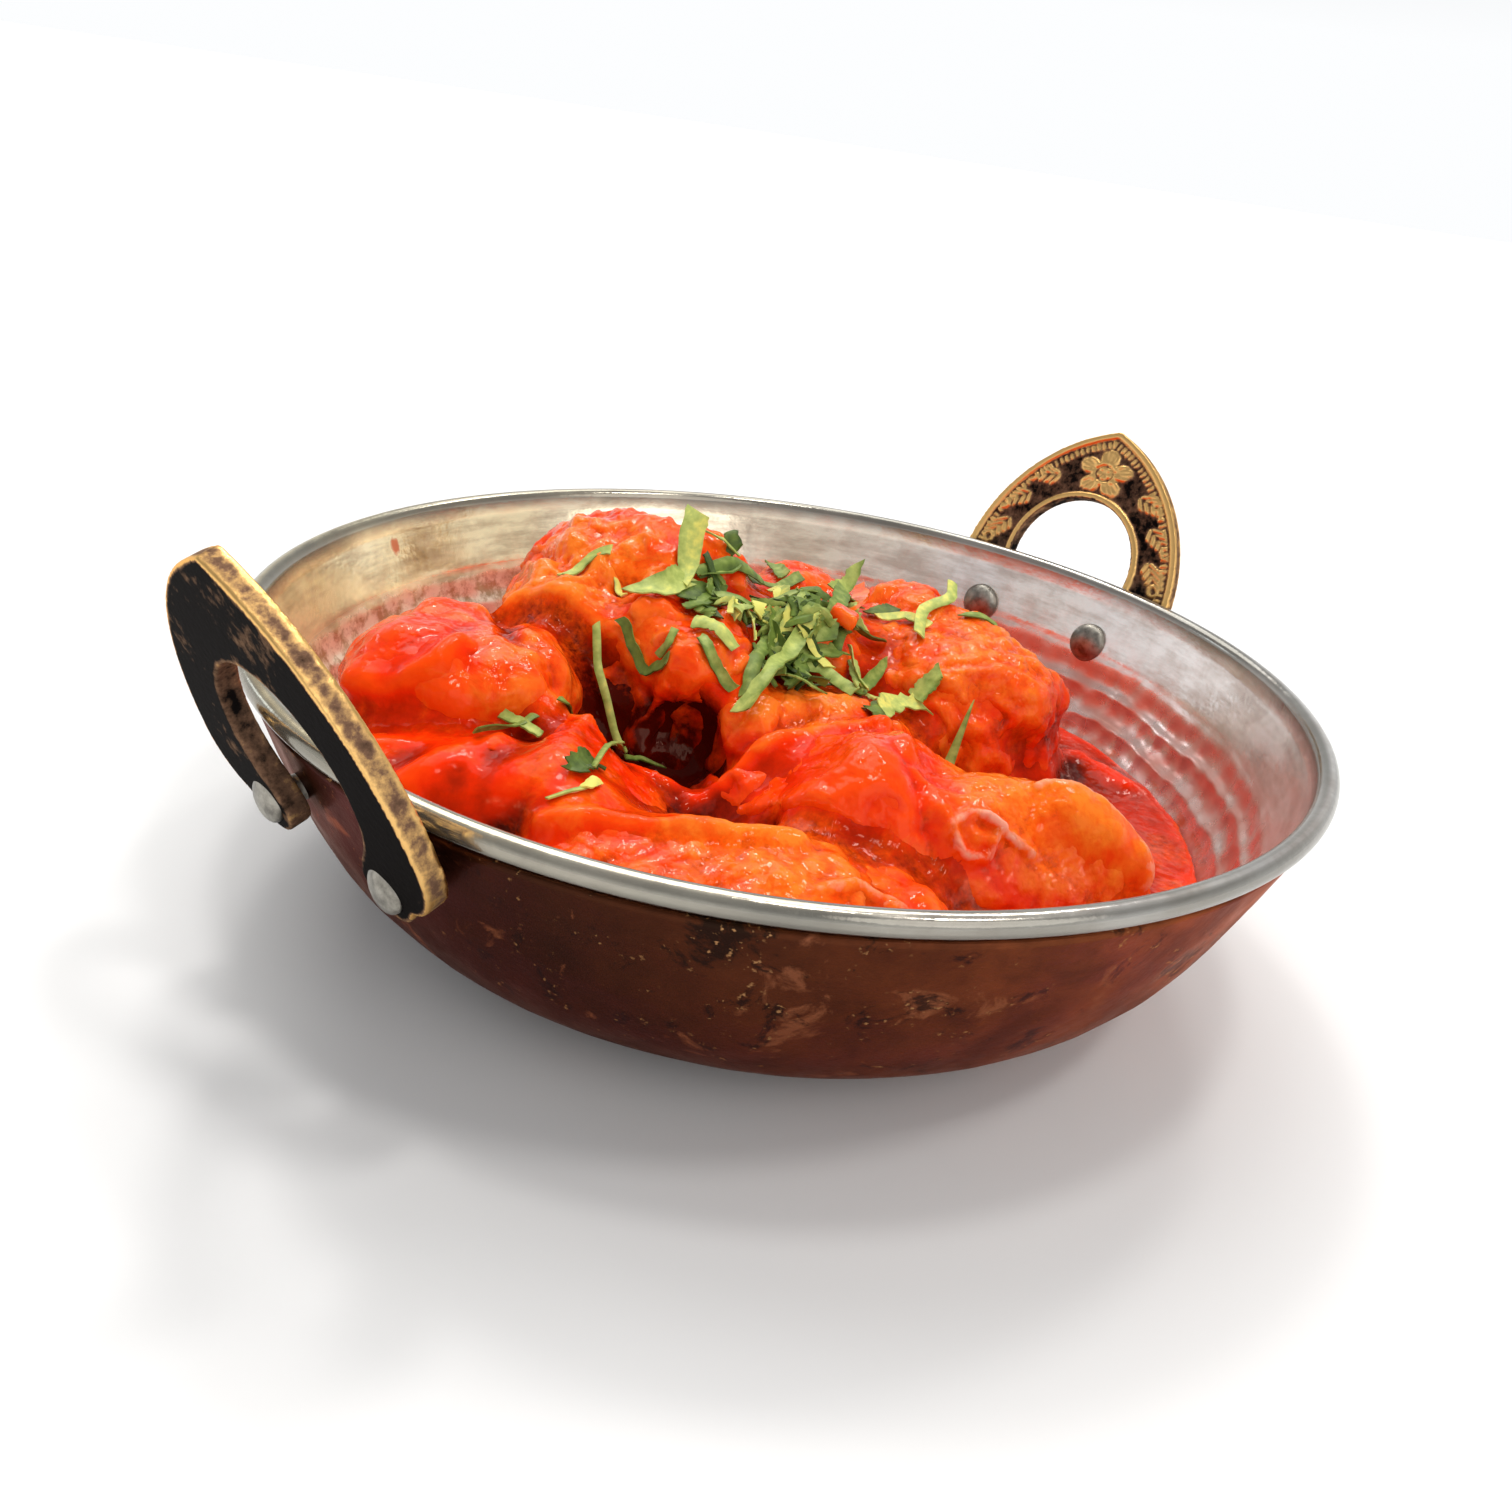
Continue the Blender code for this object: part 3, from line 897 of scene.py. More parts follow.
@dataclass
class Bowl:
    """The steel bowl with its rolled rim, and the copper jacket round it.

    bright_line is the angle, in degrees up the rim's roll, of a painted highlight line, kept clear of the
    painted shade on the roll. The line moves line_sway higher at lit_side, and as much lower opposite, and
    its brightness falls as it climbs.
    """

    wall: Wall
    rim_radius: float = 76.0 * MM
    rim_height: float = RIM_HEIGHT
    roll: float = 1.47 * MM
    turns: int = 480
    jacket_turns: int = 360
    # Bearing of the side whose walls take the painted warm reflection.
    warm_reflection_side: float = math.radians(130)
    # Bearing of the jacket's side that is painted brighter, as painted light.
    jacket_lit_side: float = math.radians(-60)
    # Bearing where the painted highlight line on the rim sits highest.
    lit_side: float = math.radians(38)
    bright_line: float = 84.0
    line_sway: float = 12.0
    line_width: float = 16.0
    line_fall: float = 0.033
    marks: Hammering = field(
        default_factory=lambda: Hammering(4.6 * MM, 0.80 * MM, 8 * MM, HAMMERED_TOP, groove=0.5)
    )
    dents: Hammering = field(
        default_factory=lambda: Hammering(7.5 * MM, 0.16 * MM, 3 * MM, 36 * MM, jitter=0.35, seed=8)
    )

    def build_steel(self) -> bpy.types.Object:
        """Builds the bowl itself, hammered inside.

        Returns:
            The piece, in place.
        """
        inner = self.wall.section(self.wall.inside, 110)[::-1]
        outer = self.wall.section(self.wall.jacket + self.wall.gap, 14)
        floor = [(radius, self.wall.inside) for radius in np.linspace(0, inner[0][0], 10)[:-1]]
        roll = arc((self.rim_radius, self.rim_height), self.roll, 172, -62, 22)
        base = (0, self.wall.jacket + self.wall.gap)
        profile = [*floor, *map(tuple, inner), *roll, *map(tuple, outer), base]
        mesh = mesh_of(spun(profile, self.turns), "steel")
        places = points_of(mesh)
        radius = from_axis(places)
        middle = self.wall.radius(places[:, 2], self.wall.inside - self.wall.steel / 2)
        hollow = self.marks.hollow(places) * (radius < middle)
        places[:, :2] *= (1 + hollow / np.maximum(radius, MM))[:, None]
        move_points(mesh, places)
        return object_of("steel_bowl_hammered", mesh)

    def build_jacket(self) -> bpy.types.Object:
        """Builds the copper outside, dented a little all over.

        Returns:
            The piece, in place.
        """
        inner = self.wall.section(self.wall.jacket, 12)[::-1]
        outer = self.wall.section(0, 64)
        floor = [(radius, 0.0) for radius in np.linspace(outer[-1][0], 0, 10)[1:]]
        profile = [(0, self.wall.jacket), *map(tuple, inner), *map(tuple, outer), *floor]
        mesh = mesh_of(spun(profile, self.jacket_turns), "jacket")
        places = points_of(mesh)
        radius = from_axis(places)
        outside = radius > self.wall.radius(places[:, 2], self.wall.jacket / 2)
        hollow = self.dents.hollow(places) * outside
        hollow += 0.12 * MM * (1 + Noise(5).at(places, 18 * MM)) * outside * (places[:, 2] > MM)
        places[:, :2] *= (1 - hollow / np.maximum(radius, MM))[:, None]
        move_points(mesh, places)
        # Painted light: the jacket is brightest on one side and fades round the other.
        paint(mesh, "bright", (0.5 + 0.5 * np.cos(bearing(places) - self.jacket_lit_side)) ** 3)
        return object_of("copper_jacket_dented", mesh)

    def mark_steel(self, steel: bpy.types.Object) -> None:
        """Marks where the steel is filmed with sauce or dull, and where light is painted on it.

        The painted light is a warm, straw-coloured reflection on one side, a rose reflection of the red
        food with a faint sauce film on the other, and shade on the rim's roll round a painted highlight
        line.

        Args:
            steel: The bowl.
        """
        places = points_of(steel.data)
        near = np.clip(1 - (places[:, 2] - SAUCE_LEVEL - 0.3 * MM) / (1.2 * MM), 0, 1)
        drip = np.array(self.drip())
        away = np.hypot(*(places - drip).T[:2]) / (1.6 * MM)
        away = np.hypot(away, (places[:, 2] - drip[2]) / (2.6 * MM))
        paint(steel.data, "film", np.maximum(near * 0.55, np.clip(1.15 - away, 0, 0.75)))
        # Painted reflection: the walls are tinted warm on one side.
        straw = np.cos(bearing(places) - self.warm_reflection_side)
        patches = 0.25 * Noise(61).fractal(places, 22 * MM, 2)
        paint(steel.data, "warm_reflection", np.clip(0.42 + 0.62 * straw + patches, 0, 1))
        low = np.clip((HAMMERED_TOP - places[:, 2]) / (3 * MM), 0, 1)
        mottled = np.clip(0.65 + 0.9 * Noise(62).fractal(places, 6 * MM, 3), 0, 1)
        # Painted reflection of the red food, with a faint sauce film: rose in the low band, away from the
        # warm side.
        paint(steel.data, "rose_reflection_and_film", low * mottled * np.clip(0.6 - 0.65 * straw, 0.0, 1.0))
        paint(steel.data, "dull", low * np.clip(0.6 + 0.7 * straw, 0, 1))
        # Painted shade on the rim's roll, left off along a painted highlight line that sits highest at
        # lit_side.
        radius = from_axis(places)
        turned = np.degrees(np.arctan2(places[:, 2] - self.rim_height, radius - self.rim_radius))
        rolled = (places[:, 2] > self.rim_height - self.roll) & (radius > self.rim_radius - self.roll)
        middle = self.bright_line + self.line_sway * np.cos(bearing(places) - self.lit_side)
        shine = 0.8 - self.line_fall * (middle - (self.bright_line - self.line_sway))
        line = np.exp(-(((turned - middle) / self.line_width) ** 2)) * shine
        paint(steel.data, "rim_shade", rolled * (1 - line) * np.clip(0.85 + patches, 0, 1))

    def drip(self) -> tuple[float, float, float]:
        """Where one drop of sauce has run down the far side, under the rim.

        Returns:
            The drop's place.
        """
        height = 35 * MM
        radius = self.wall.radius(height, self.wall.inside)
        angle = math.radians(107)
        return radius * math.cos(angle), radius * math.sin(angle), height


@dataclass
class Handle:
    """A pointed horseshoe of cast brass: plain outside, with a raised border, a flower and leaves inside.

    Its own plane has X across, Y up along the plate and Z outwards, from the inner face at rim height.
    """

    side: Side
    reach: float = 77.6 * MM
    rim_height: float = RIM_HEIGHT
    lean: float = math.radians(20.8)
    thickness: float = 2.8 * MM
    top: float = 27.5 * MM
    half_width: float = 21.9 * MM
    widest: float = -3.3 * MM
    shoulder: float = 7.5 * MM
    hole_radius: float = 12.3 * MM
    hole_height: float = 1.9 * MM
    foot_across: float = 12.0 * MM
    foot_height: float = -9.5 * MM
    foot_radius: float = 4.4 * MM
    voxel: float = 0.27 * MM
    recess: float = 0.55 * MM
    border: float = 1.35 * MM
    hatch: float = 1.15 * MM
    flower_height: float = 19.4 * MM
    flower_size: tuple[float, float] = (6.0 * MM, 4.9 * MM)
    leaf_angles: tuple[int, ...] = (52, 30, 8, -13)

    @property
    def frame(self) -> Matrix:
        """Where the handle stands.

        Returns:
            The matrix from the handle's plane to the part's frame.
        """
        turn = self.side.value
        up = Vector((turn * math.sin(self.lean), 0, math.cos(self.lean)))
        out = Vector((turn * math.cos(self.lean), 0, -math.sin(self.lean)))
        matrix = Matrix((up.cross(out), up, out)).transposed().to_4x4()
        matrix.translation = Vector((turn * self.reach, 0, self.rim_height))
        return matrix

    def outline(self, fine: int) -> tuple[list, int]:
        """The closed outline.

        Args:
            fine: Number of points for each long arc.

        Returns:
            The points, and how many of the first and last ones are on the outer side.
        """
        rise = self.top - self.widest
        radius = (self.half_width**2 + rise**2) / (2 * self.half_width)
        point = math.degrees(math.asin(rise / radius))
        half = arc((self.half_width - radius, self.widest), radius, point, 0, fine)
        half += arc((self.half_width - self.shoulder, self.widest), self.shoulder, -4, -72, fine // 3)
        outside = len(half)
        half += arc((self.foot_across, self.foot_height), self.foot_radius, -35, -180, fine // 2)
        half += arc((0, self.hole_height), self.hole_radius, -40.2, 90, fine)
        return half[:-1] + [(-x, y) for x, y in half[::-1][:-1]], outside

    def build(self) -> bpy.types.Object:
        """Builds the plate with its relief.

        Returns:
            The piece, in place.
        """
        shape = bmesh.new()
        line, outside = self.outline(24)
        plate = shape.faces.new([shape.verts.new((x, y, 0)) for x, y in line])
        grown = bmesh.ops.extrude_face_region(shape, geom=[plate])["geom"]
        moved = [item for item in grown if isinstance(item, bmesh.types.BMVert)]
        bmesh.ops.translate(shape, vec=(0, 0, self.thickness), verts=moved)
        bmesh.ops.triangulate(shape, faces=shape.faces[:])
        bmesh.ops.recalc_face_normals(shape, faces=shape.faces[:])
        mesh = remeshed(mesh_of(shape, "plate"), self.voxel)
        places = relaxed(points_of(mesh), edges_of(mesh), 2)
        raised, edge, rim = self.ornament(places, np.array(line), outside)
        inner_face = places[:, 2] < 0.35 * self.thickness
        wear = Noise(60 + self.side.value).fractal(places, 7 * MM, 3)
        outer_face = 0.66 - 0.36 * np.clip(edge / (0.7 * MM), 0, 1) + 0.3 * wear
        rubbed = np.where(inner_face, 0.45 + 0.55 * raised + 0.1 * wear, outer_face)
        flank = edge < 0.30 * MM
        off_middle = np.abs(places[:, 2] / self.thickness - 0.5) * 2
        band = np.where(rim, 0.58 + 0.34 * off_middle**3, 0.42 + 0.10 * off_middle) + 0.14 * wear
        rubbed = np.where(flank, band, rubbed)
        places[:, 2] += np.where(inner_face & ~flank, self.recess * (1 - raised), 0)
        paint(mesh, "rubbed", relaxed(rubbed[:, None], edges_of(mesh), 1)[:, 0])
        move_points(mesh, places)
        mesh.transform(self.frame)
        low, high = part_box("handle_" + self.side.name.lower())
        move_points(mesh, np.clip(points_of(mesh), np.array(low), np.array(high)))
        return object_of(f"handle_{self.side.name.lower()}_cast", mesh)

    def ornament(self, places: np.ndarray, line: np.ndarray, outside: int) -> tuple[np.ndarray, ...]:
        """The relief on the inner face.

        Args:
            places: The plate's vertices, in its own plane.
            line: The outline's points.
            outside: How many points at each end of the outline lie on the outer side.

        Returns:
            How raised each vertex is, from 0 to 1, its distance from the plate's edge, and whether the
            nearest edge is the outer one.
        """
        parts, batch = 12, 4000
        ends = np.roll(line, -1, axis=0)
        steps = np.linspace(0, 1, parts, endpoint=False)[None, :, None]
        dense = (line[:, None] * (1 - steps) + ends[:, None] * steps).reshape(-1, 2)
        number = np.arange(len(line))
        outer = np.repeat((number < outside) | (number > len(line) - outside), parts)
        along = run_along(dense)
        edge = np.empty(len(places))
        ticks = np.empty(len(places))
        rim = np.empty(len(places), bool)
        for start in range(0, len(places), batch):
            part = slice(start, start + batch)
            apart = np.linalg.norm(places[part, None, :2] - dense[None], axis=2)
            nearest = apart.argmin(axis=1)
            edge[part] = apart[np.arange(len(nearest)), nearest]
            rim[part] = outer[nearest]
            from_outer = np.where(outer[None], apart, 9.0).argmin(axis=1)
            away = apart[np.arange(len(nearest)), from_outer]
            hatch = 0.5 + 0.5 * np.cos(along[from_outer] / self.hatch * math.tau)
            ticks[part] = hatch * (np.abs(away - 2.15 * MM) < 0.75 * MM)
        border = np.clip((self.border - edge) / (0.3 * MM), 0, 1)
        field_inside = edge > 1.6 * MM
        flowers = np.maximum(self.flower(places), self.leaves(places)) * field_inside
        return np.maximum.reduce([border, 0.8 * ticks * field_inside, flowers]), edge, rim

    def flower(self, places: np.ndarray) -> np.ndarray:
        """A five-petalled flower under the plate's point, wider than it is high.

        Args:
            places: The plate's vertices, in its own plane.

        Returns:
            How raised each vertex is, from 0 to 1.
        """
        across = places[:, 0] / self.flower_size[0]
        up = (places[:, 1] - self.flower_height) / self.flower_size[1]
        radius = np.hypot(across, up)
        angle = np.arctan2(across, up)
        petal = 0.42 + 0.58 * np.abs(np.cos(2.5 * angle)) ** 0.6
        vein = np.clip(np.abs(np.sin(2.5 * angle)) * radius * 6, 0, 1)
        rib = np.clip(0.6 + 0.8 * np.cos(15 * angle), 0, 1)
        ribbed = 1 - 0.45 * (1 - rib) * (radius > 0.45)
        body = np.clip((petal - radius) * 7, 0, 1) * (0.35 + 0.65 * vein) * ribbed
        moat = np.clip(np.abs(radius - 0.28) * 16, 0, 1)
        return body * moat

    def leaves(self, places: np.ndarray) -> np.ndarray:
        """Curled leaves down both arms, each with a vein and a scroll at its foot.

        Args:
            places: The plate's vertices, in its own plane.

        Returns:
            How raised each vertex is, from 0 to 1.
        """
        across = np.abs(places[:, 0])
        up = places[:, 1] - self.hole_height
        angle = np.degrees(np.arctan2(up, across))
        radius = np.hypot(across, up)
        total = np.zeros(len(places))
        for middle in self.leaf_angles:
            width = (5.2 if middle > 0 else 4.2) * MM
            along = np.radians(angle - middle) * 16.5 * MM
            out = radius - (16.6 + 0.035 * max(middle, 0)) * MM
            bent = out + 1.0 * MM * np.sin(along / width * math.pi)
            leaf = np.clip((1 - (along / (0.56 * width)) ** 2 - (bent / (2.3 * MM)) ** 2) * 3, 0, 1)
            vein = np.clip(np.abs(bent) / (0.28 * MM), 0, 1)
            ribs = np.clip(0.6 + 0.7 * np.cos((along + np.abs(bent)) / (1.25 * MM) * math.tau), 0.2, 1)
            scroll = np.hypot(along + 0.46 * width, out - 1.1 * MM)
            curl = np.clip(1.4 - np.abs(scroll - 0.85 * MM) / (0.25 * MM), 0, 1)
            total = np.maximum(total, np.maximum(leaf * vein * ribs, curl))
        return total


@dataclass
class Rivet:
    """A steel rivet through the wall and a handle's foot: domed inside, flatter outside.

    dome and button are the radius and the rise of its two heads.
    """

    handle: Handle
    wall: Wall
    number: int
    inner_height: float = 29.6 * MM
    shank: float = 1.7 * MM
    dome: tuple = (3.5 * MM, 1.9 * MM)
    button: tuple = (2.9 * MM, 1.0 * MM)
    stand_off: float = 0.12 * MM

    def build(self) -> bpy.types.Object:
        """Builds the rivet.

        Returns:
            The piece, in place.
        """
        turn = self.handle.side.value
        across = (-1 if self.number == 1 else 1) * self.handle.foot_across
        radius = float(self.wall.radius(self.inner_height, self.wall.inside))
        inner = Vector((turn * math.sqrt(radius**2 - across**2), turn * across, self.inner_height))
        outer = self.handle.frame @ Vector((across, self.handle.foot_height, self.handle.thickness))
        length = (outer - inner).length
        dome = self.head(*self.dome, -self.stand_off, -1)
        button = self.head(*self.button, length, 1)[::-1]
        shank = (self.shank, 0.6 * MM), (self.shank, length - 0.3 * MM)
        profile = [*dome, (self.dome[0], 0.55 * MM), *shank, (self.button[0], length - 0.25 * MM), *button]
        shape = spun(profile, 40)
        matrix = (outer - inner).to_track_quat("Z", "Y").to_matrix().to_4x4()
        matrix.translation = inner
        mesh = mesh_of(shape, "rivet")
        places = points_of(mesh)
        places += 0.06 * MM * Noise(self.number + 5 * (turn + 1)).at(places, 2.5 * MM)[:, None]
        move_points(mesh, places)
        mesh.transform(matrix)
        low, high = (np.array(corner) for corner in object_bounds())
        move_points(mesh, np.clip(points_of(mesh), low, high))
        return object_of(f"rivet_{self.handle.side.name.lower()}_{self.number}_head", mesh)

    @staticmethod
    def head(radius: float, rise: float, foot: float, way: int) -> list[tuple[float, float]]:
        """The profile of a head, from its pole to its equator.

        Args:
            radius: Its radius.
            rise: How far it stands out.
            foot: The height that it stands on.
            way: 1 if it stands up, or -1 if it hangs down.

        Returns:
            (radius, height) points.
        """
        angles = np.linspace(0, math.pi / 2, 8)
        return [(radius * math.sin(a), foot + way * rise * math.cos(a)) for a in angles]


# ---------------------------------------------------------------------------
# The food
# ---------------------------------------------------------------------------


SNAP = 3.5 * MM  # A stroke's points that are this near the surface are laid on it.


@dataclass(frozen=True)
class Stroke:
    """A ridge, or with a height below 0 a crease, along a line of points in millimetres.

    pale is how strongly it takes a painted pale highlight, from 0, like the rest, to 1.
    """

    points: tuple
    height: float
    width: float
    pale: float = 0.0

    def nearness(self, places: np.ndarray) -> np.ndarray:
        """How near each point is to the line, once the line is laid on the surface.

        Args:
            places: The surface's points in metres.

        Returns:
            One value for each point, from 0, away from the line, to 1, on it.
        """
        line = np.array(self.points, float) * MM
        length = run_along(line)[-1]
        line = points_along(line, np.linspace(0, length, max(2, round(length / MM))))
        near = places[np.abs(places - line.mean(axis=0)).max(axis=1) < length / 2 + SNAP]
        if not len(near):
            return np.zeros(len(places))
        apart = np.linalg.norm(near[:, None] - line[None], axis=2)
        found = apart.min(axis=0) < SNAP
        line[found] = near[apart.argmin(axis=0)[found]]
        nearest = np.full(len(places), 1.0)
        for start, end in zip(line, line[1:]):
            way = end - start
            share = np.clip((places - start) @ way / max(way @ way, 1e-12), 0, 1)
            nearest = np.minimum(nearest, np.linalg.norm(places - start - share[:, None] * way, axis=1))
        return np.exp(-((nearest / (self.width * MM)) ** 2))


@dataclass(frozen=True)
class Lump:
    """How one piece of chicken is shaped and coated. Lengths in millimetres.

    crag is the height of torn meat fibres and lumps, swell that of broad hollows, and blister that of
    the small bubbles in its coat.
    """

    node: str
    swell: float = 1.0
    crag: float = 0.5
    blister: float = 0.12
    seed: int = 0


LUMPS = (
    Lump("chicken_peak", 1.2, 2.8, 0.40, 1),
    Lump("chicken_left", 0.8, 0.9, 0.12, 2),
    Lump("chicken_left_front", 0.8, 0.7, 0.1, 3),
    Lump("chicken_centre_left", 1.0, 2.0, 0.35, 4),
    Lump("chicken_wedge", 0.4, 0.5, 0.1, 5),
    Lump("chicken_middle", 1.0, 2.0, 0.35, 6),
    Lump("chicken_top", 1.0, 1.8, 0.2, 7),
    Lump("chicken_back", 0.8, 1.2, 0.15, 8),
    Lump("chicken_right", 1.2, 2.0, 0.35, 9),
    Lump("chicken_front_right", 0.8, 0.9, 0.25, 10),
    Lump("chicken_front", 0.8, 1.0, 0.15, 11),
    Lump("chicken_front_small", 0.7, 1.0, 0.15, 12),
)

# Creases and ridges that run over the heap, whatever lies under them.
STROKES = (
    Stroke(((-24, 40, 33), (-33, 24, 36), (-33, 15, 33)), -1.8, 2.0),
    Stroke(((-21, 22, 34), (-20, 12, 31)), -1.5, 2.0),
    Stroke(((-55, 31, 32), (-52, 25, 32), (-47, 22, 36), (-42, 24, 38)), 1.2, 2.0),
    Stroke(((-31, 25, 37), (-33, 16, 34), (-35, 11, 31)), 0.8, 1.8),
    Stroke(((-54, 22, 29), (-48, 18, 30), (-42, 15, 31)), -0.8, 3.5),
    Stroke(((-57, 20, 27), (-52, 17, 27), (-46, 10, 27)), 1.2, 3.0),
    Stroke(((-52, 4, 24), (-47, -1, 25), (-47, -8, 25)), 3.0, 5.0),
    Stroke(((-58, 10, 25), (-53, 10, 26), (-46, 8, 26)), 2.4, 3.5),
    Stroke(((-33, 6, 31), (-30, 1, 28), (-26, -6, 24)), 1.4, 1.3),
    Stroke(((-27, 5, 27), (-21, 2, 26)), -9.0, 5.0),
    Stroke(((-26, -8, 23), (-20, -9, 27), (-12, -11, 30), (-3, -14, 31), (2, -17, 31)), 1.2, 1.7),
    Stroke(((2, -17, 31), (-3, -24, 34), (-8, -29, 35), (-10, -32, 35)), 0.9, 1.6),
    Stroke(((-24, -5, 24), (-14, -7, 29), (-4, -9, 31)), -1.6, 1.8),
    Stroke(((-10, -31, 35), (-13, -35, 32), (-15, -40, 27)), -1.1, 1.6),
    Stroke(((4, -22, 31), (14, -26, 30), (26, -30, 27)), -1.4, 2.2),
    Stroke(
        ((-12, -40, 30), (-8, -40, 31), (-6, -43, 29), (-9, -44, 26), (-12, -42, 27), (-12, -40, 30)),
        0.9,
        0.6,
        0.6,
    ),
    Stroke(((-7, -42, 31), (-5, -45, 28), (-3, -47, 26)), 0.9, 0.7, 0.75),
    Stroke(((-9, -42, 28), (-8, -43, 28)), 0.9, 1.0),
    Stroke(((7, -46, 28), (10, -50, 25), (12, -54, 22)), 1.3, 4.0),
    Stroke(((4, -42, 31), (9, -46, 29), (12, -52, 25), (11, -56, 21)), 0.9, 0.8, 0.6),
    Stroke(((-6, -33, 34), (2, -31, 33), (10, -30, 31)), -2.6, 4.5),
    Stroke(((-36, -22, 28), (-31, -21, 26), (-26, -20, 25)), -2.8, 1.6),
    Stroke(((-52, -9, 27), (-44, -19, 30), (-38, -26, 30), (-31, -30, 29)), 1.1, 1.5),
    Stroke(((-36, -38, 27), (-30, -40, 27), (-27, -44, 25), (-30, -48, 22)), 0.9, 0.9, 0.5),
    Stroke(((-12, 42, 40), (-16, 32, 42), (-12, 24, 42)), -1.6, 1.8),
    Stroke(((-26, 38, 38), (-20, 28, 40), (-19, 22, 37)), 1.4, 2.0),
    Stroke(((44, -22, 17), (52, -24, 17), (50, -34, 16)), 1.6, 3.0),
)


@dataclass(frozen=True)
class Patch:
    """A round area of the heap, in millimetres, where its share is added to a painted value."""

    at: tuple[float, float, float]
    radius: float
    share: float

    def weight(self, places: np.ndarray) -> np.ndarray:
        """What it adds to the value at each point."""
        away = np.linalg.norm(places - np.array(self.at) * MM, axis=1) / (self.radius * MM)
        return self.share * np.clip(1.6 - 1.6 * away, 0, 1)


# Where the gravy is orange and grainy, and where it is smooth and red.
PATCHES = (
    Patch((-48, 28, 34), 14, -0.35),
    Patch((-36, 18, 34), 10, 0.12),
    Patch((-16, 34, 42), 16, 0.5),
    Patch((-20, 15, 34), 10, 0.1),
    Patch((-36, 2, 27), 12, -0.25),
    Patch((-54, 8, 24), 14, -0.3),
    Patch((-24, -12, 24), 9, -0.6),
    Patch((-12, -24, 32), 14, -0.8),
    Patch((8, -40, 28), 18, 0.55),
    Patch((-2, -6, 32), 12, 0.4),
    Patch((-36, -30, 28), 14, 0.45),
    Patch((36, -12, 32), 20, 0.35),
    Patch((50, -28, 16), 26, -0.6),
)

# Painted shade: where the gravy is painted darker, as in the deep places between the pieces, or lighter.
SHADE_PATCHES = (
    Patch((-21, 5, 23), 13, -0.9),
    Patch((-22, 17, 29), 8, -0.25),
    Patch((-30, 30, 34), 6, -0.15),
    Patch((-32, -21, 26), 5, -0.5),
    Patch((10, 16, 33), 8, -0.3),
    Patch((46, -38, 16), 36, -0.20),
    Patch((-54, 5, 24), 15, -0.32),
    Patch((-37, -2, 28), 17, -0.22),
    Patch((-48, 17, 29), 9, 0.14),
    Patch((-28, 26, 36), 9, -0.15),
)


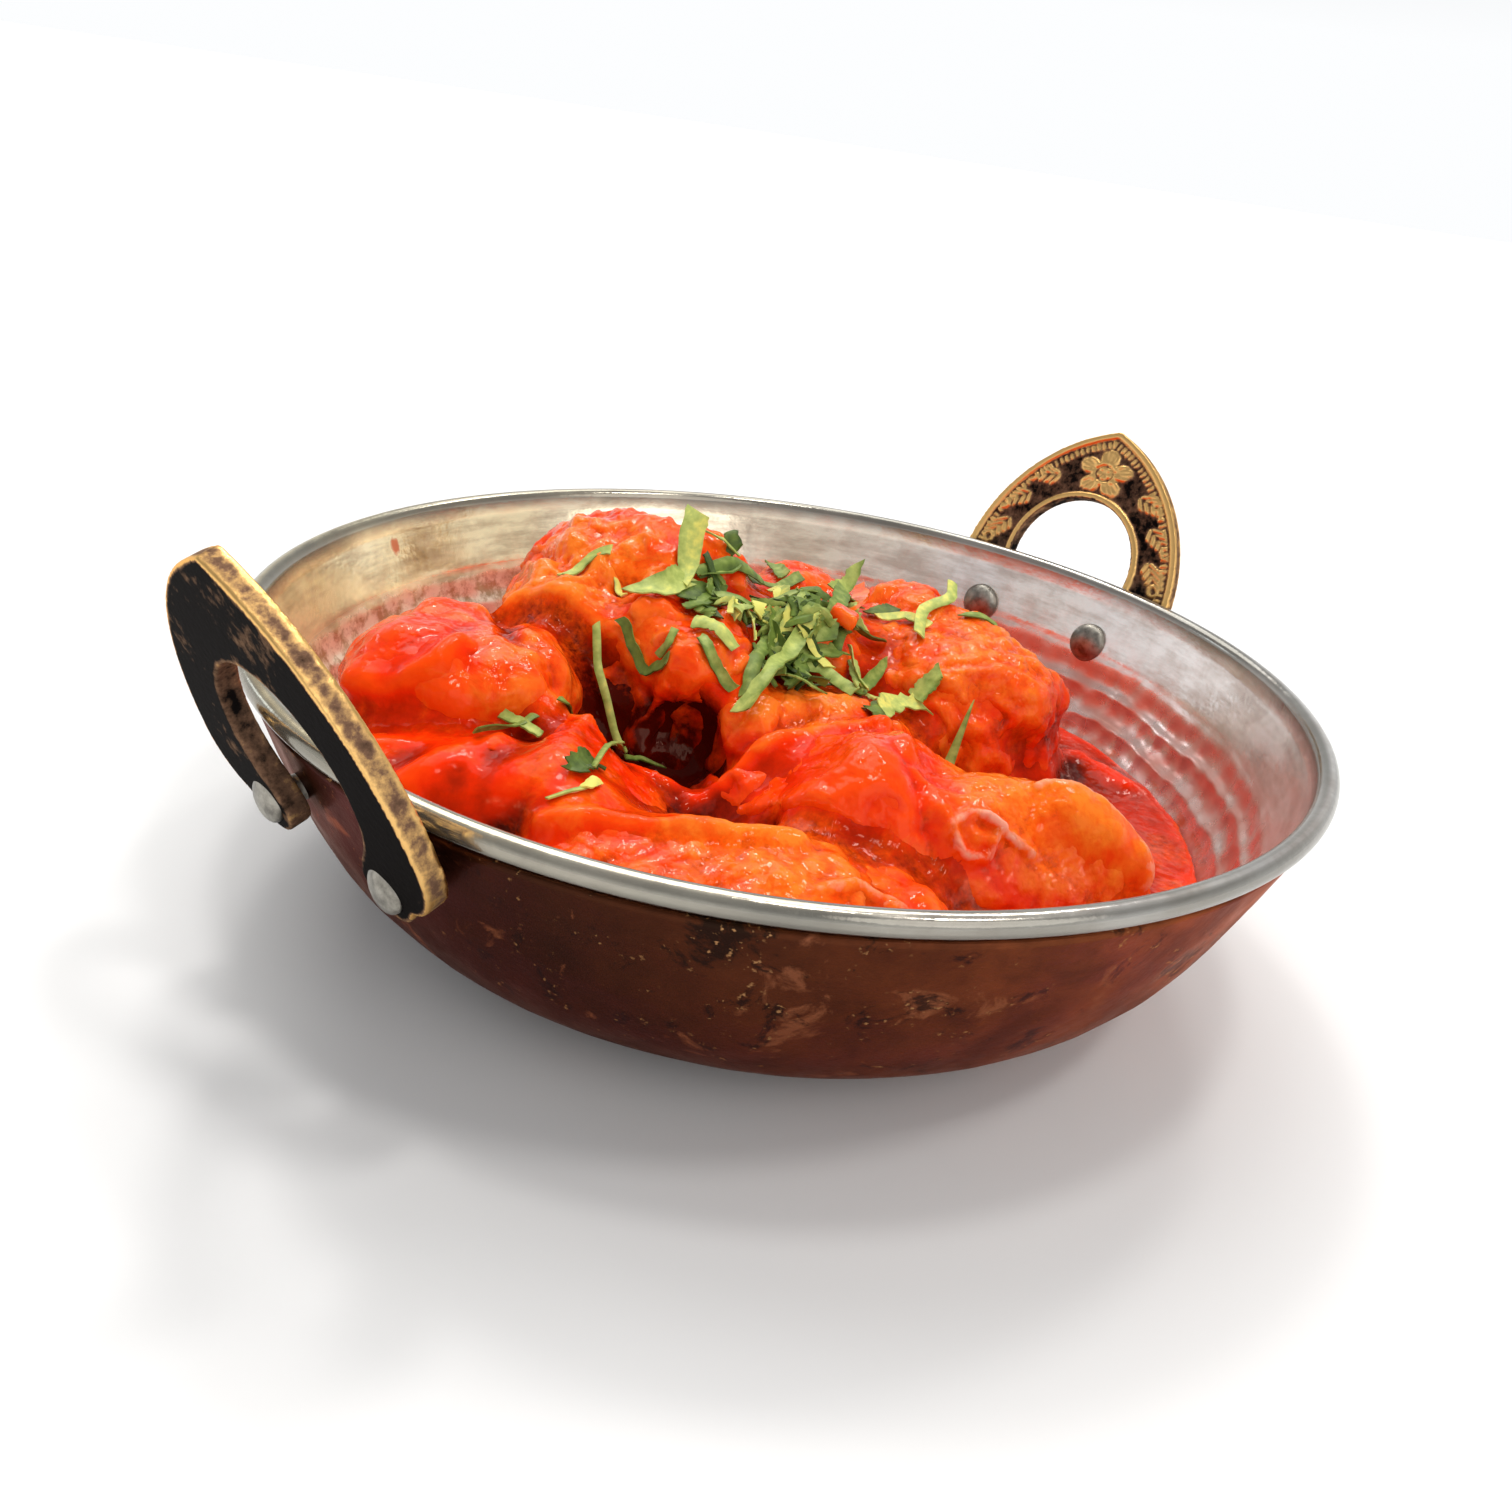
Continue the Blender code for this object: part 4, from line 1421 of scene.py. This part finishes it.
@dataclass
class Heap:
    """The chicken and the gravy that it lies in.

    coat is how thick the gravy is on the meat, and bridge how wide the gaps are that the pool fills.
    """

    wall: Wall
    meat: bpy.types.Material
    gravy: bpy.types.Material
    level: float = SAUCE_LEVEL
    voxel: float = 0.6 * MM
    skin_voxel: float = 0.75 * MM
    coat: float = 0.35 * MM
    bridge: float = 3.2 * MM
    shells: list = field(default_factory=list)

    def keep_inside(self, places: np.ndarray, clearance: float) -> np.ndarray:
        """Moves points in from the steel.

        Args:
            places: The points, which are changed.
            clearance: How far off the steel they stay or, below 0, how far they may go into it.

        Returns:
            The same points.
        """
        limit = self.wall.radius(places[:, 2], self.wall.inside + clearance)
        places[:, :2] *= np.minimum(1, limit / np.maximum(from_axis(places), MM))[:, None]
        places[:, 2] = np.maximum(places[:, 2], self.wall.inside + clearance)
        return places

    def build_lump(self, lump: Lump) -> bpy.types.Object:
        """One piece of chicken in its coat.

        Args:
            lump: How it is shaped.

        Returns:
            The piece, in place.
        """
        mesh = even_mesh_of(lump.node, self.voxel)
        edges = edges_of(mesh)
        places = relaxed(points_of(mesh), edges, 5)
        move_points(mesh, places)
        normals = points_of(mesh, "normal")
        noise = Noise(lump.seed)
        push = lump.swell * MM * noise.at(places, 14 * MM)
        torn = places + 1.8 * MM * noise.at(places, 6 * MM)[:, None]
        fibres = 0.7 * noise.fractal(torn, 5.5 * MM, 3) + 0.5 * noise.folds(torn, 9 * MM) - 0.3
        push += lump.crag * MM * fibres
        push += self.strokes(mesh, places)
        push += lump.blister * MM * noise.fractal(places, 1.8 * MM, 2)
        move_points(mesh, self.keep_inside(places + normals * (push + self.coat)[:, None], 0.1 * MM))
        self.paint_height_and_shade(mesh)
        self.shells.append(mesh.copy())
        piece = object_of(lump.node + "_coated", mesh)
        dress(piece, self.meat, Slot.CHICKEN, lump.node)
        return piece

    @staticmethod
    def strokes(mesh: bpy.types.Mesh, places: np.ndarray) -> np.ndarray:
        """Marks the painted highlight seams on a surface, and finds how far all strokes together move it.

        Args:
            mesh: The surface.
            places: Its points.

        Returns:
            How far each point moves outwards.
        """
        near = np.array([stroke.nearness(places) for stroke in STROKES])
        # Painted highlight: pale seams along the strokes.
        paint(mesh, "pale", np.array([stroke.pale for stroke in STROKES]) @ near)
        return MM * np.array([stroke.height for stroke in STROKES]) @ near

    def paint_height_and_shade(self, mesh: bpy.types.Mesh) -> None:
        """Marks hollows with numbers near 0, ridges with numbers near 1, and where the gravy is grainy.

        The low numbers paint shade into the hollows and the low places.

        Args:
            mesh: The surface.
        """
        places = points_of(mesh)
        edges = edges_of(mesh)
        normals = points_of(mesh, "normal")
        # Painted shade: darker in creases, lighter on ridges, by how far each point stands off its
        # smoothed surface.
        near = ((places - relaxed(places, edges, 10)) * normals).sum(axis=1) / (0.10 * MM)
        broad = ((places - relaxed(places, edges, 60)) * normals).sum(axis=1) / (0.55 * MM)
        # Painted shade: the lower a point lies, the darker it is.
        low_shade = np.clip((places[:, 2] - self.level) / (14 * MM), 0, 1) * 0.2 - 0.1
        value = 0.56 + low_shade + 0.10 * np.clip(near, -2, 2) + 0.10 * np.clip(broad, -2, 2)
        # Patches of painted shade between the pieces, and a few lighter ones.
        value += sum(patch.weight(places) for patch in SHADE_PATCHES)
        paint(mesh, "raised", relaxed(np.clip(value, -0.3, 1)[:, None], edges, 2)[:, 0])
        paint(mesh, "grainy", 0.4 + sum(patch.weight(places) for patch in PATCHES))

    def build_gravy(self) -> bpy.types.Object:
        """Builds the gravy: a pool, filling the creases between the pieces and coating their feet.

        Returns:
            The piece, in place.
        """
        depth = self.wall.inside - 0.3 * MM
        side = self.wall.section(depth, 40)[::-1]
        side = side[side[:, 1] < self.level - 0.5 * MM]
        edge = (float(self.wall.radius(self.level, depth)), self.level)
        shape = spun([(0, depth), *map(tuple, side), edge, (0, self.level)], 96)
        for shell in self.shells:
            move_points(shell, relaxed(points_of(shell), edges_of(shell), 6))
            move_points(shell, points_of(shell) + points_of(shell, "normal") * self.bridge)
            shape.from_mesh(shell)
            bpy.data.meshes.remove(shell)
        mesh = remeshed(mesh_of(shape, "pool"), self.skin_voxel)
        start = points_of(mesh)
        above = np.clip((start[:, 2] - self.level) / (1.5 * self.bridge), 0, 1)
        move_points(mesh, relaxed(start, edges_of(mesh), 6))
        shrink = self.bridge * above + 0.25 * MM
        move_points(mesh, points_of(mesh) - points_of(mesh, "normal") * shrink[:, None])
        move_points(mesh, relaxed(points_of(mesh), edges_of(mesh), 10))
        places = points_of(mesh)
        noise = Noise(40)
        push = 0.5 * MM * noise.at(places, 11 * MM) + 0.15 * MM * noise.fractal(places, 3 * MM, 2)
        push += self.strokes(mesh, places)
        push *= np.clip((places[:, 2] - self.level + 2 * MM) / (2 * MM), 0, 1)
        move_points(mesh, self.keep_inside(places + points_of(mesh, "normal") * push[:, None], -0.15 * MM))
        self.paint_height_and_shade(mesh)
        piece = object_of("curry_gravy", mesh)
        dress(piece, self.gravy, Slot.SAUCE, "curry_sauce")
        return piece

    def build_pepper(self) -> bpy.types.Material:
        """Builds the bit of red pepper in the garnish.

        Returns:
            The skin's material, for its curl.
        """
        mesh = even_mesh_of("pepper_piece", 0.3 * MM)
        places = relaxed(points_of(mesh), edges_of(mesh), 4)
        move_points(mesh, places)
        push = 0.35 * MM * Noise(50).fractal(places, 3 * MM, 2)
        move_points(mesh, places + points_of(mesh, "normal") * push[:, None])
        self.paint_height_and_shade(mesh)
        piece = object_of("pepper_bit", mesh)
        skin = Gravy("pepper_skin", grain=0.05 * MM).make()
        dress(piece, skin, Slot.PEPPER, "pepper_piece")
        return skin


@dataclass(frozen=True)
class Strip:
    """One cut strip that lies on the heap, in millimetres.

    path is its middle line as (x, y, lift over the food), roll how far it leans over, in degrees,
    tone its green from 0, dark, to 1, pale, ragged how jagged its sides are, and point how much
    it narrows towards its end.
    """

    path: tuple
    width: float
    tone: float = 0.5
    roll: float = 0.0
    ragged: float = 0.25
    point: float = 0.0


# The strips that lie apart from the tangle, or on top of it.
STRIPS = (
    Strip(((2, 24, 5.0), (-1, 22, 3.4), (-3, 20, 1.8), (-6, 18, 0.8)), 4.6, 0.80, 10, 0.12, 0.5),
    Strip(((-4, 19, 1.4), (-9, 18, 1.4), (-14, 19, 1.0)), 4.4, 0.72, -25, 0.12),
    Strip(((-8, 17, 1.5), (-3, 16, 1.8), (2, 16, 1.2)), 4.2, 0.20, 10, 0.4),
    Strip(((-13, 7, 0.8), (-14, 3, 1.2), (-12, -1, 0.8)), 1.8, 0.50, 20, 0.2),
    Strip(((-14, -4, 0.8), (-8, -3, 3.0), (-1, 0, 3.2), (6, 3, 1.6)), 3.0, 0.62, 15, 0.45),
    Strip(((-11, -2, 0.6), (-5, 2, 2.2), (2, 6, 1.6)), 2.6, 0.40, -20, 0.3),
    Strip(((-11, 10, 1.0), (-10, 6, 1.4), (-9, 3, 0.8)), 3.2, 0.75, 10, 0.3),
    Strip(((-9, 14, 1.2), (-4, 14, 1.8), (-1, 15, 1.2)), 2.8, 0.35, 0, 0.4),
    Strip(((30, 31, 0.8), (25, 24, 0.8)), 2.8, 0.5, 10, 0.3),
    Strip(((22, 10, 1.5), (26, 11, 3.5), (29, 12, 7.0)), 3.8, 0.62, 30, 0.3, 0.4),
    Strip(((8, 0, 1.8), (14, 3, 3.0), (20, 7, 2.5)), 3.4, 0.42, 15, 0.25),
    Strip(((8, 6, 1.8), (13, 9, 2.0), (19, 12, 1.2)), 3.8, 0.38, -10, 0.35),
    Strip(((2, 2, 1.8), (6, -2, 2.4), (5, -9, 1.0)), 2.2, 0.65, 20, 0.15),
    Strip(((-1, 3, 2.4), (5, 1, 3.0), (10, -1, 2.0)), 4.2, 0.50, 10, 0.35),
    Strip(((8, -7, 1.2), (13, -6, 2.0), (18, -5, 1.2)), 3.0, 0.45, 25, 0.3, 0.5),
    Strip(((3, -14, 0.8), (8, -13, 1.2)), 4.6, 0.25, 5, 0.5),
    Strip(((6, -14, 1.4), (12, -12, 2.0), (16, -14, 1.0)), 4.4, 0.80, 10, 0.55),
    Strip(((15, -13, 1.2), (20, -14, 1.0)), 3.2, 0.6, 10, 0.4),
    Strip(((5, -26, 1.2), (12, -22, 3.0), (22, -20, 3.0)), 3.4, 0.60, 15, 0.15, 0.9),
    Strip(((26, 3, 0.8), (30, 1, 0.9), (29, -4, 0.8)), 2.2, 0.85, 10, 0.15),
    Strip(((24, -6, 0.8), (31, -1, 1.0), (38, -2, 1.0), (42, 1, 3.0)), 2.2, 0.80, 15, 0.15),
    Strip(((26, 6, 0.9), (32, 5, 0.9)), 3.0, 0.25, 10, 0.35),
    Strip(((36, -6, 0.4), (42, -9, 0.4)), 1.8, 0.5, 0, 0.2),
    Strip(((-18, 19, 0.8), (-18, 13, 1.0), (-18, 7, 0.8)), 1.9, 0.32, 10, 0.3),
    Strip(((-18, 11, 0.9), (-17, 9, 1.4), (-14, 10, 0.9)), 1.4, 0.50, 10, 0.2),
    Strip(((-19, 23, 1.0), (-22, 18, 2.0), (-22, 14, 2.6), (-24, 8, 1.6)), 1.3, 0.70, 20, 0.1),
    Strip(((-24, 8, 1.6), (-21, 8, 1.6), (-18, 6, 1.0)), 1.0, 0.40, 10, 0.1, 0.6),
    Strip(((-24, 8, 1.6), (-30, 3, 2.0), (-36, -1, 1.4), (-43, -6, 0.8)), 0.9, 0.55, 10, 0.05),
    Strip(((1, 8, 3.2), (3, 10, 3.6)), 2.6, 1.1, 20, 0.3),
    Strip(((-46, -6, 0.9), (-44, -5, 1.2), (-41, -4, 0.9)), 4.0, 0.18, 10, 0.5),
    Strip(((-47, -9, 0.7), (-44, -8, 0.7)), 1.8, 1.0, 0, 0.2),
    Strip(((-44, -8, 0.5), (-47, -9, 0.6), (-51, -7, 0.4)), 0.6, 0.75, 0, 0.0),
    Strip(((-49, 10, 1.0), (-44, 11, 1.2), (-39, 11, 0.8)), 1.8, 0.45, -25, 0.25),
    Strip(((-42, 14, 0.5), (-41, 11, 1.6), (-41, 7, 0.6)), 1.6, 0.62, 10, 0.25),
    Strip(((-36, 9, 0.8), (-31, 12, 1.6), (-26, 16, 1.2)), 1.7, 0.32, 10, 0.2),
    Strip(((-26, 16, 1.4), (-24, 12, 1.4)), 1.1, 0.35, 10, 0.1),
    Strip(((-18, 32, 0.25), (-13, 32, 0.35), (-10, 30, 0.25)), 1.8, 0.75, 0, 0.2),
    Strip(((-11, 27, 0.3), (-13, 23, 0.3)), 1.3, 0.95, 0, 0.2),
    Strip(((-2, 19, 1.0), (5, 18, 1.6), (13, 19, 1.0)), 2.6, 0.35, 10, 0.25),
    Strip(((12, 20, 1.0), (20, 21, 1.2), (27, 22, 0.9)), 2.4, 0.45, 10, 0.3),
)
PEPPER_CURL = Strip(((30, 12, 3.0), (26, 8, 2.6), (21, 5, 2.2), (15, 3, 1.6)), 3.4, 0.5, 35, 0.3)


@dataclass
class Garnish:
    """Coriander cut in strips and dropped on the heap.

    Of the tangle, tangle is the middle and spread the width and depth, in millimetres, and bits is how
    many strips are dropped. None lies within pit_radius of pit, the deep place between the pieces.
    """

    leaf: bpy.types.Material
    ground: BVHTree
    thickness: float = 0.22 * MM
    spans: int = 14
    rows: int = 3
    seed: int = 17
    tangle: tuple = (5.0, 5.5)
    spread: tuple = (8.0, 6.5)
    bits: int = 80
    pit: tuple = (-22.0, 3.0)
    pit_radius: float = 13.0
    low: float = SAUCE_LEVEL

    def strips(self) -> list[Strip]:
        """Cuts the strips of the tangle in the middle.

        Returns:
            Those, then the ones that lie apart.
        """
        rng = np.random.default_rng(self.seed)
        right, away = np.array((0.62, -0.78)), np.array((0.78, 0.62))
        found = []
        for _ in range(self.bits):
            across, depth = np.clip(rng.normal(0, self.spread), -12, 12)
            middle = np.array(self.tangle) + across * right + depth * away
            if np.linalg.norm(middle - self.pit) < self.pit_radius:
                continue
            heading = rng.uniform(0, math.tau)
            half = 0.5 * rng.uniform(2.5, 9.0) * np.array((math.cos(heading), math.sin(heading)))
            bend = rng.uniform(-0.25, 0.25) * np.array((-half[1], half[0]))
            lift = rng.uniform(0.4, 2.4) + 0.6 * max(0.0, 1 - math.hypot(across, depth) / 9)
            ends = (*(middle - half), lift), (*(middle + bend), lift + 0.6), (*(middle + half), lift)
            found.append(
                Strip(
                    ends,
                    rng.uniform(1.1, 3.4),
                    float(np.clip(rng.normal(0.48, 0.28), 0, 1)),
                    rng.uniform(-55, 55),
                    rng.uniform(0.25, 0.7),
                    max(0.0, rng.uniform(-0.6, 0.6)),
                )
            )
        return [*found, *STRIPS]

    def build(self) -> bpy.types.Object:
        """Lays every strip on the food.

        Returns:
            The one piece that holds them.
        """
        rng = np.random.default_rng(self.seed + 1)
        shape = bmesh.new()
        for strip in self.strips():
            self.lay(shape, strip, rng)
        piece = self.finished(shape, "coriander_strips", self.thickness)
        dress(piece, self.leaf, Slot.CORIANDER)
        return piece

    @staticmethod
    def finished(shape: bmesh.types.BMesh, name: str, thickness: float) -> bpy.types.Object:
        """Thickens flat ribbons and makes them one object.

        Args:
            shape: The ribbons.
            name: The object's name.
            thickness: How thick they become.

        Returns:
            The object.
        """
        bmesh.ops.recalc_face_normals(shape, faces=shape.faces[:])
        bmesh.ops.solidify(shape, geom=shape.faces[:], thickness=thickness)
        piece = object_of(name, mesh_of(shape, name))
        piece.data.set_sharp_from_angle(angle=math.radians(28))
        return piece

    def lay(self, shape: bmesh.types.BMesh, strip: Strip, rng: np.random.Generator) -> None:
        """Adds one strip: a flat ribbon with cut ends and jagged sides that sags onto what is under it.

        Args:
            shape: The mesh that it is added to.
            strip: Its size and place.
            rng: Source of its raggedness.
        """
        tone = shape.verts.layers.float.get("tone") or shape.verts.layers.float.new("tone")
        path = np.array(strip.path, float) * MM
        length = run_along(path)[-1]
        line = points_along(path, np.linspace(-0.04, 1.04, self.spans + 1) * length)
        line[1:-1] = 0.25 * line[:-2] + 0.5 * line[1:-1] + 0.25 * line[2:]
        line[0] -= (line[1] - line[0]) * 0.5
        line[-1] += (line[-1] - line[-2]) * 0.5
        for _ in range(2):
            sag = running_mean(self.under(line)[0]) + line[:, 2]
            climbed = np.hypot(np.diff(sag), np.linalg.norm(np.diff(line[:, :2], axis=0), axis=1)).sum()
            middle = line[len(line) // 2, :2]
            line[:, :2] = middle + (line[:, :2] - middle) * min(1.0, 1.15 * length / climbed)
        rests, normals = self.under(line)
        sag = running_mean(rests)
        line[:, 2] += sag + 0.7 * max(0.0, float((rests - sag).max()))
        way = unit(np.gradient(line, axis=0))
        side = unit(np.cross(normals, way))
        out = np.cross(way, side)
        lean = strip.roll + rng.uniform(-12, 12)
        roll = np.radians(lean + rng.uniform(-25, 25) * np.linspace(-1, 1, len(line)))
        flat = side * np.cos(roll)[:, None] + out * np.sin(roll)[:, None]
        teeth = 1 - strip.ragged * rng.uniform(0, 1, (2, len(line)))
        slants = rng.uniform(-0.35, 0.35, 2)
        cup = rng.uniform(-0.18, 0.18)
        grid = bmesh.ops.create_grid(shape, x_segments=self.spans, y_segments=self.rows, size=0.5)["verts"]
        for vert in grid:
            step = round((vert.co.x + 0.5) * self.spans)
            row = vert.co.y * 2
            share = step / self.spans
            narrow = 1 - strip.point * share**1.5
            bitten = teeth[0 if row < 0 else 1, step] if abs(row) > 0.9 else 0.9
            half = 0.5 * strip.width * MM * narrow * bitten
            slant = slants[0] * max(0.0, 1 - 3 * share) + slants[1] * max(0.0, 3 * share - 2)
            place = line[step] + flat[step] * half * row + way[step] * slant * strip.width * MM * row
            vert.co = place + out[step] * cup * strip.width * MM * (row * row - 0.5)
            vert[tone] = strip.tone + 0.08 * row + 0.10 * (abs(row) < 0.5)

    def under(self, line: np.ndarray) -> tuple[np.ndarray, np.ndarray]:
        """Looks for the food under a line.

        Args:
            line: Points, one a row.

        Returns:
            The food's height under each point, and which way up a strip lies there.
        """
        hits = [self.ground.ray_cast(Vector((x, y, 1.0)), Vector((0, 0, -1))) for x, y, _ in line]
        rests = np.array([hit[0].z if hit[0] else self.low for hit in hits])
        normals = np.array([hit[1] if hit[0] else (0, 0, 1) for hit in hits])
        smooth = np.stack([running_mean(column) for column in normals.T], axis=1)
        smooth[:, 2] += 0.5
        return rests, unit(smooth)

    def build_curl(self, skin: bpy.types.Material) -> bpy.types.Object:
        """Builds the curl of skin beside the bit of pepper.

        Args:
            skin: Its material.

        Returns:
            The piece, in place.
        """
        shape = bmesh.new()
        self.lay(shape, PEPPER_CURL, np.random.default_rng(self.seed + 2))
        piece = self.finished(shape, "pepper_curl", 0.6 * MM)
        paint(piece.data, "raised", np.full(len(piece.data.vertices), 0.6))
        paint(piece.data, "grainy", np.full(len(piece.data.vertices), 0.9))
        dress(piece, skin, Slot.PEPPER)
        return piece


# ---------------------------------------------------------------------------
# The studio
# ---------------------------------------------------------------------------


@dataclass(frozen=True)
class Lamp:
    """A far lamp that lights the whole floor evenly: broad, or narrow for a sharp glint.

    It shines from the direction of place, strength is its irradiance, and spread its width in degrees.
    """

    name: str
    place: tuple[float, float, float]
    strength: float
    spread: float
    colour: Colour = (1.0, 0.98, 0.95)

    def build(self) -> None:
        """Puts the lamp in the scene."""
        light = bpy.data.lights.new(self.name, "SUN")
        light.angle = math.radians(self.spread)
        light.energy = self.strength
        light.color = self.colour
        lamp = bpy.data.objects.new(self.name, light)
        lamp.location = self.place
        lamp.rotation_euler = (-Vector(self.place)).to_track_quat("-Z", "Y").to_euler()
        bpy.context.scene.collection.objects.link(lamp)


LAMPS = (
    Lamp("window", (0.30, 0.45, 0.80), 1.2, 45),
    Lamp("window_pane", (0.30, 0.45, 0.80), 0.45, 8),
    Lamp("ceiling", (0.08, -0.05, 1.0), 0.45, 8),
    Lamp("right_pane", (0.60, 0.12, 0.78), 0.38, 8),
    Lamp("far_window", (-0.15, 0.95, 0.33), 0.07, 10, (0.82, 0.92, 1.0)),
    Lamp("side", (-0.10, -0.70, 0.45), 0.6, 45, (1.0, 0.97, 0.94)),
    Lamp("side_pane", (0.15, -0.40, 0.85), 0.45, 8, (1.0, 0.97, 0.94)),
)


@dataclass
class Studio:
    """Floor, light and camera.

    sky is the height at which the light from all round starts to change and the one where it stops, each
    from 0 at the horizon to 1 overhead, and its strength at both.
    """

    eye: tuple = (-0.1455, -0.1160, 0.1060)
    aim: tuple = (-0.0339, -0.0242, 0.0386)
    roll: float = math.radians(8.37)
    lens: float = 31.73
    sky: tuple = (0.10, 0.50, 1.0, 0.42)

    def build_floor(self) -> None:
        """A wide pale floor."""
        shape = bmesh.new()
        bmesh.ops.create_grid(shape, x_segments=8, y_segments=8, size=40.0)
        floor = object_of("floor", mesh_of(shape, "floor"))
        floor.data.materials.append(Tabletop().make())
        floor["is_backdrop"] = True

    def build_sky(self) -> None:
        """Pale light from all round, brightest at the horizon."""
        world = bpy.data.worlds.new("studio")
        world.use_nodes = True
        tree = world.node_tree
        height = tree.nodes.new("ShaderNodeSeparateXYZ")
        tree.links.new(tree.nodes.new("ShaderNodeTexCoord").outputs["Generated"], height.inputs[0])
        fade = tree.nodes.new("ShaderNodeMapRange")
        tree.links.new(height.outputs["Z"], fade.inputs["Value"])
        for name, value in zip(("From Min", "From Max", "To Min", "To Max"), self.sky):
            fade.inputs[name].default_value = value
        tree.links.new(fade.outputs["Result"], tree.nodes["Background"].inputs["Strength"])
        tree.nodes["Background"].inputs["Color"].default_value = (0.98, 0.99, 1.0, 1.0)
        bpy.context.scene.world = world
        bpy.context.scene.view_settings.view_transform = "Standard"

    def build_camera(self) -> None:
        """The camera, turned a little about its own axis."""
        camera = bpy.data.objects.new("camera", bpy.data.cameras.new("camera"))
        camera.data.lens = self.lens
        camera.data.sensor_width = 36.0
        camera.data.clip_start = 0.01
        camera.location = self.eye
        camera.rotation_mode = "QUATERNION"
        forward = Vector(self.aim) - Vector(self.eye)
        camera.rotation_quaternion = forward.to_track_quat("-Z", "Y") @ Quaternion((0, 0, 1), self.roll)
        bpy.context.scene.collection.objects.link(camera)
        bpy.context.scene.camera = camera

    def build(self) -> None:
        """Sets everything up."""
        self.build_floor()
        self.build_sky()
        for lamp in LAMPS:
            lamp.build()
        self.build_camera()


def build_karahi(wall: Wall) -> None:
    """Builds and dresses the bowl, its handles and their rivets.

    Args:
        wall: The bowl's wall.
    """
    bowl = Bowl(wall)
    steel = bowl.build_steel()
    bowl.mark_steel(steel)
    dress(steel, BowlSteel().make(), Slot.STEEL, "steel_bowl")
    dress(bowl.build_jacket(), JacketCopper().make(), Slot.COPPER, "copper_jacket")
    brass = CastBrass().make()
    rivet_steel = RivetSteel().make()
    for side in Side:
        handle = Handle(side)
        word = side.name.lower()
        rivets = [Rivet(handle, wall, number).build() for number in (1, 2)]
        dress(handle.build(), brass, Slot.BRASS, "handle_" + word)
        for number, rivet in enumerate(rivets, start=1):
            dress(rivet, rivet_steel, Slot.RIVET, f"rivet_{word}_{number}")


def ground_of(pieces: Sequence[bpy.types.Object]) -> BVHTree:
    """The surface of several pieces together, for laying things on.

    Args:
        pieces: The pieces.

    Returns:
        A tree that finds where a ray meets them.
    """
    shape = bmesh.new()
    for piece in pieces:
        shape.from_mesh(piece.data)
    tree = BVHTree.FromBMesh(shape)
    shape.free()
    return tree


def main() -> None:
    """Builds the dish from the bowl up, then the garnish and the studio."""
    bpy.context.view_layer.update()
    wall = Wall()
    build_karahi(wall)
    meat = Gravy("chicken_in_gravy")
    gravy = Gravy("gravy", grain=0.35 * MM, clouding=0.10, refraction=1.2)
    heap = Heap(wall, meat.make(), gravy.make())
    food = [heap.build_lump(lump) for lump in LUMPS]
    food.append(heap.build_gravy())
    garnish = Garnish(Leaf().make(), ground_of(food))
    garnish.build_curl(heap.build_pepper())
    garnish.build()
    Studio().build()


if __name__ == "__main__":
    main()
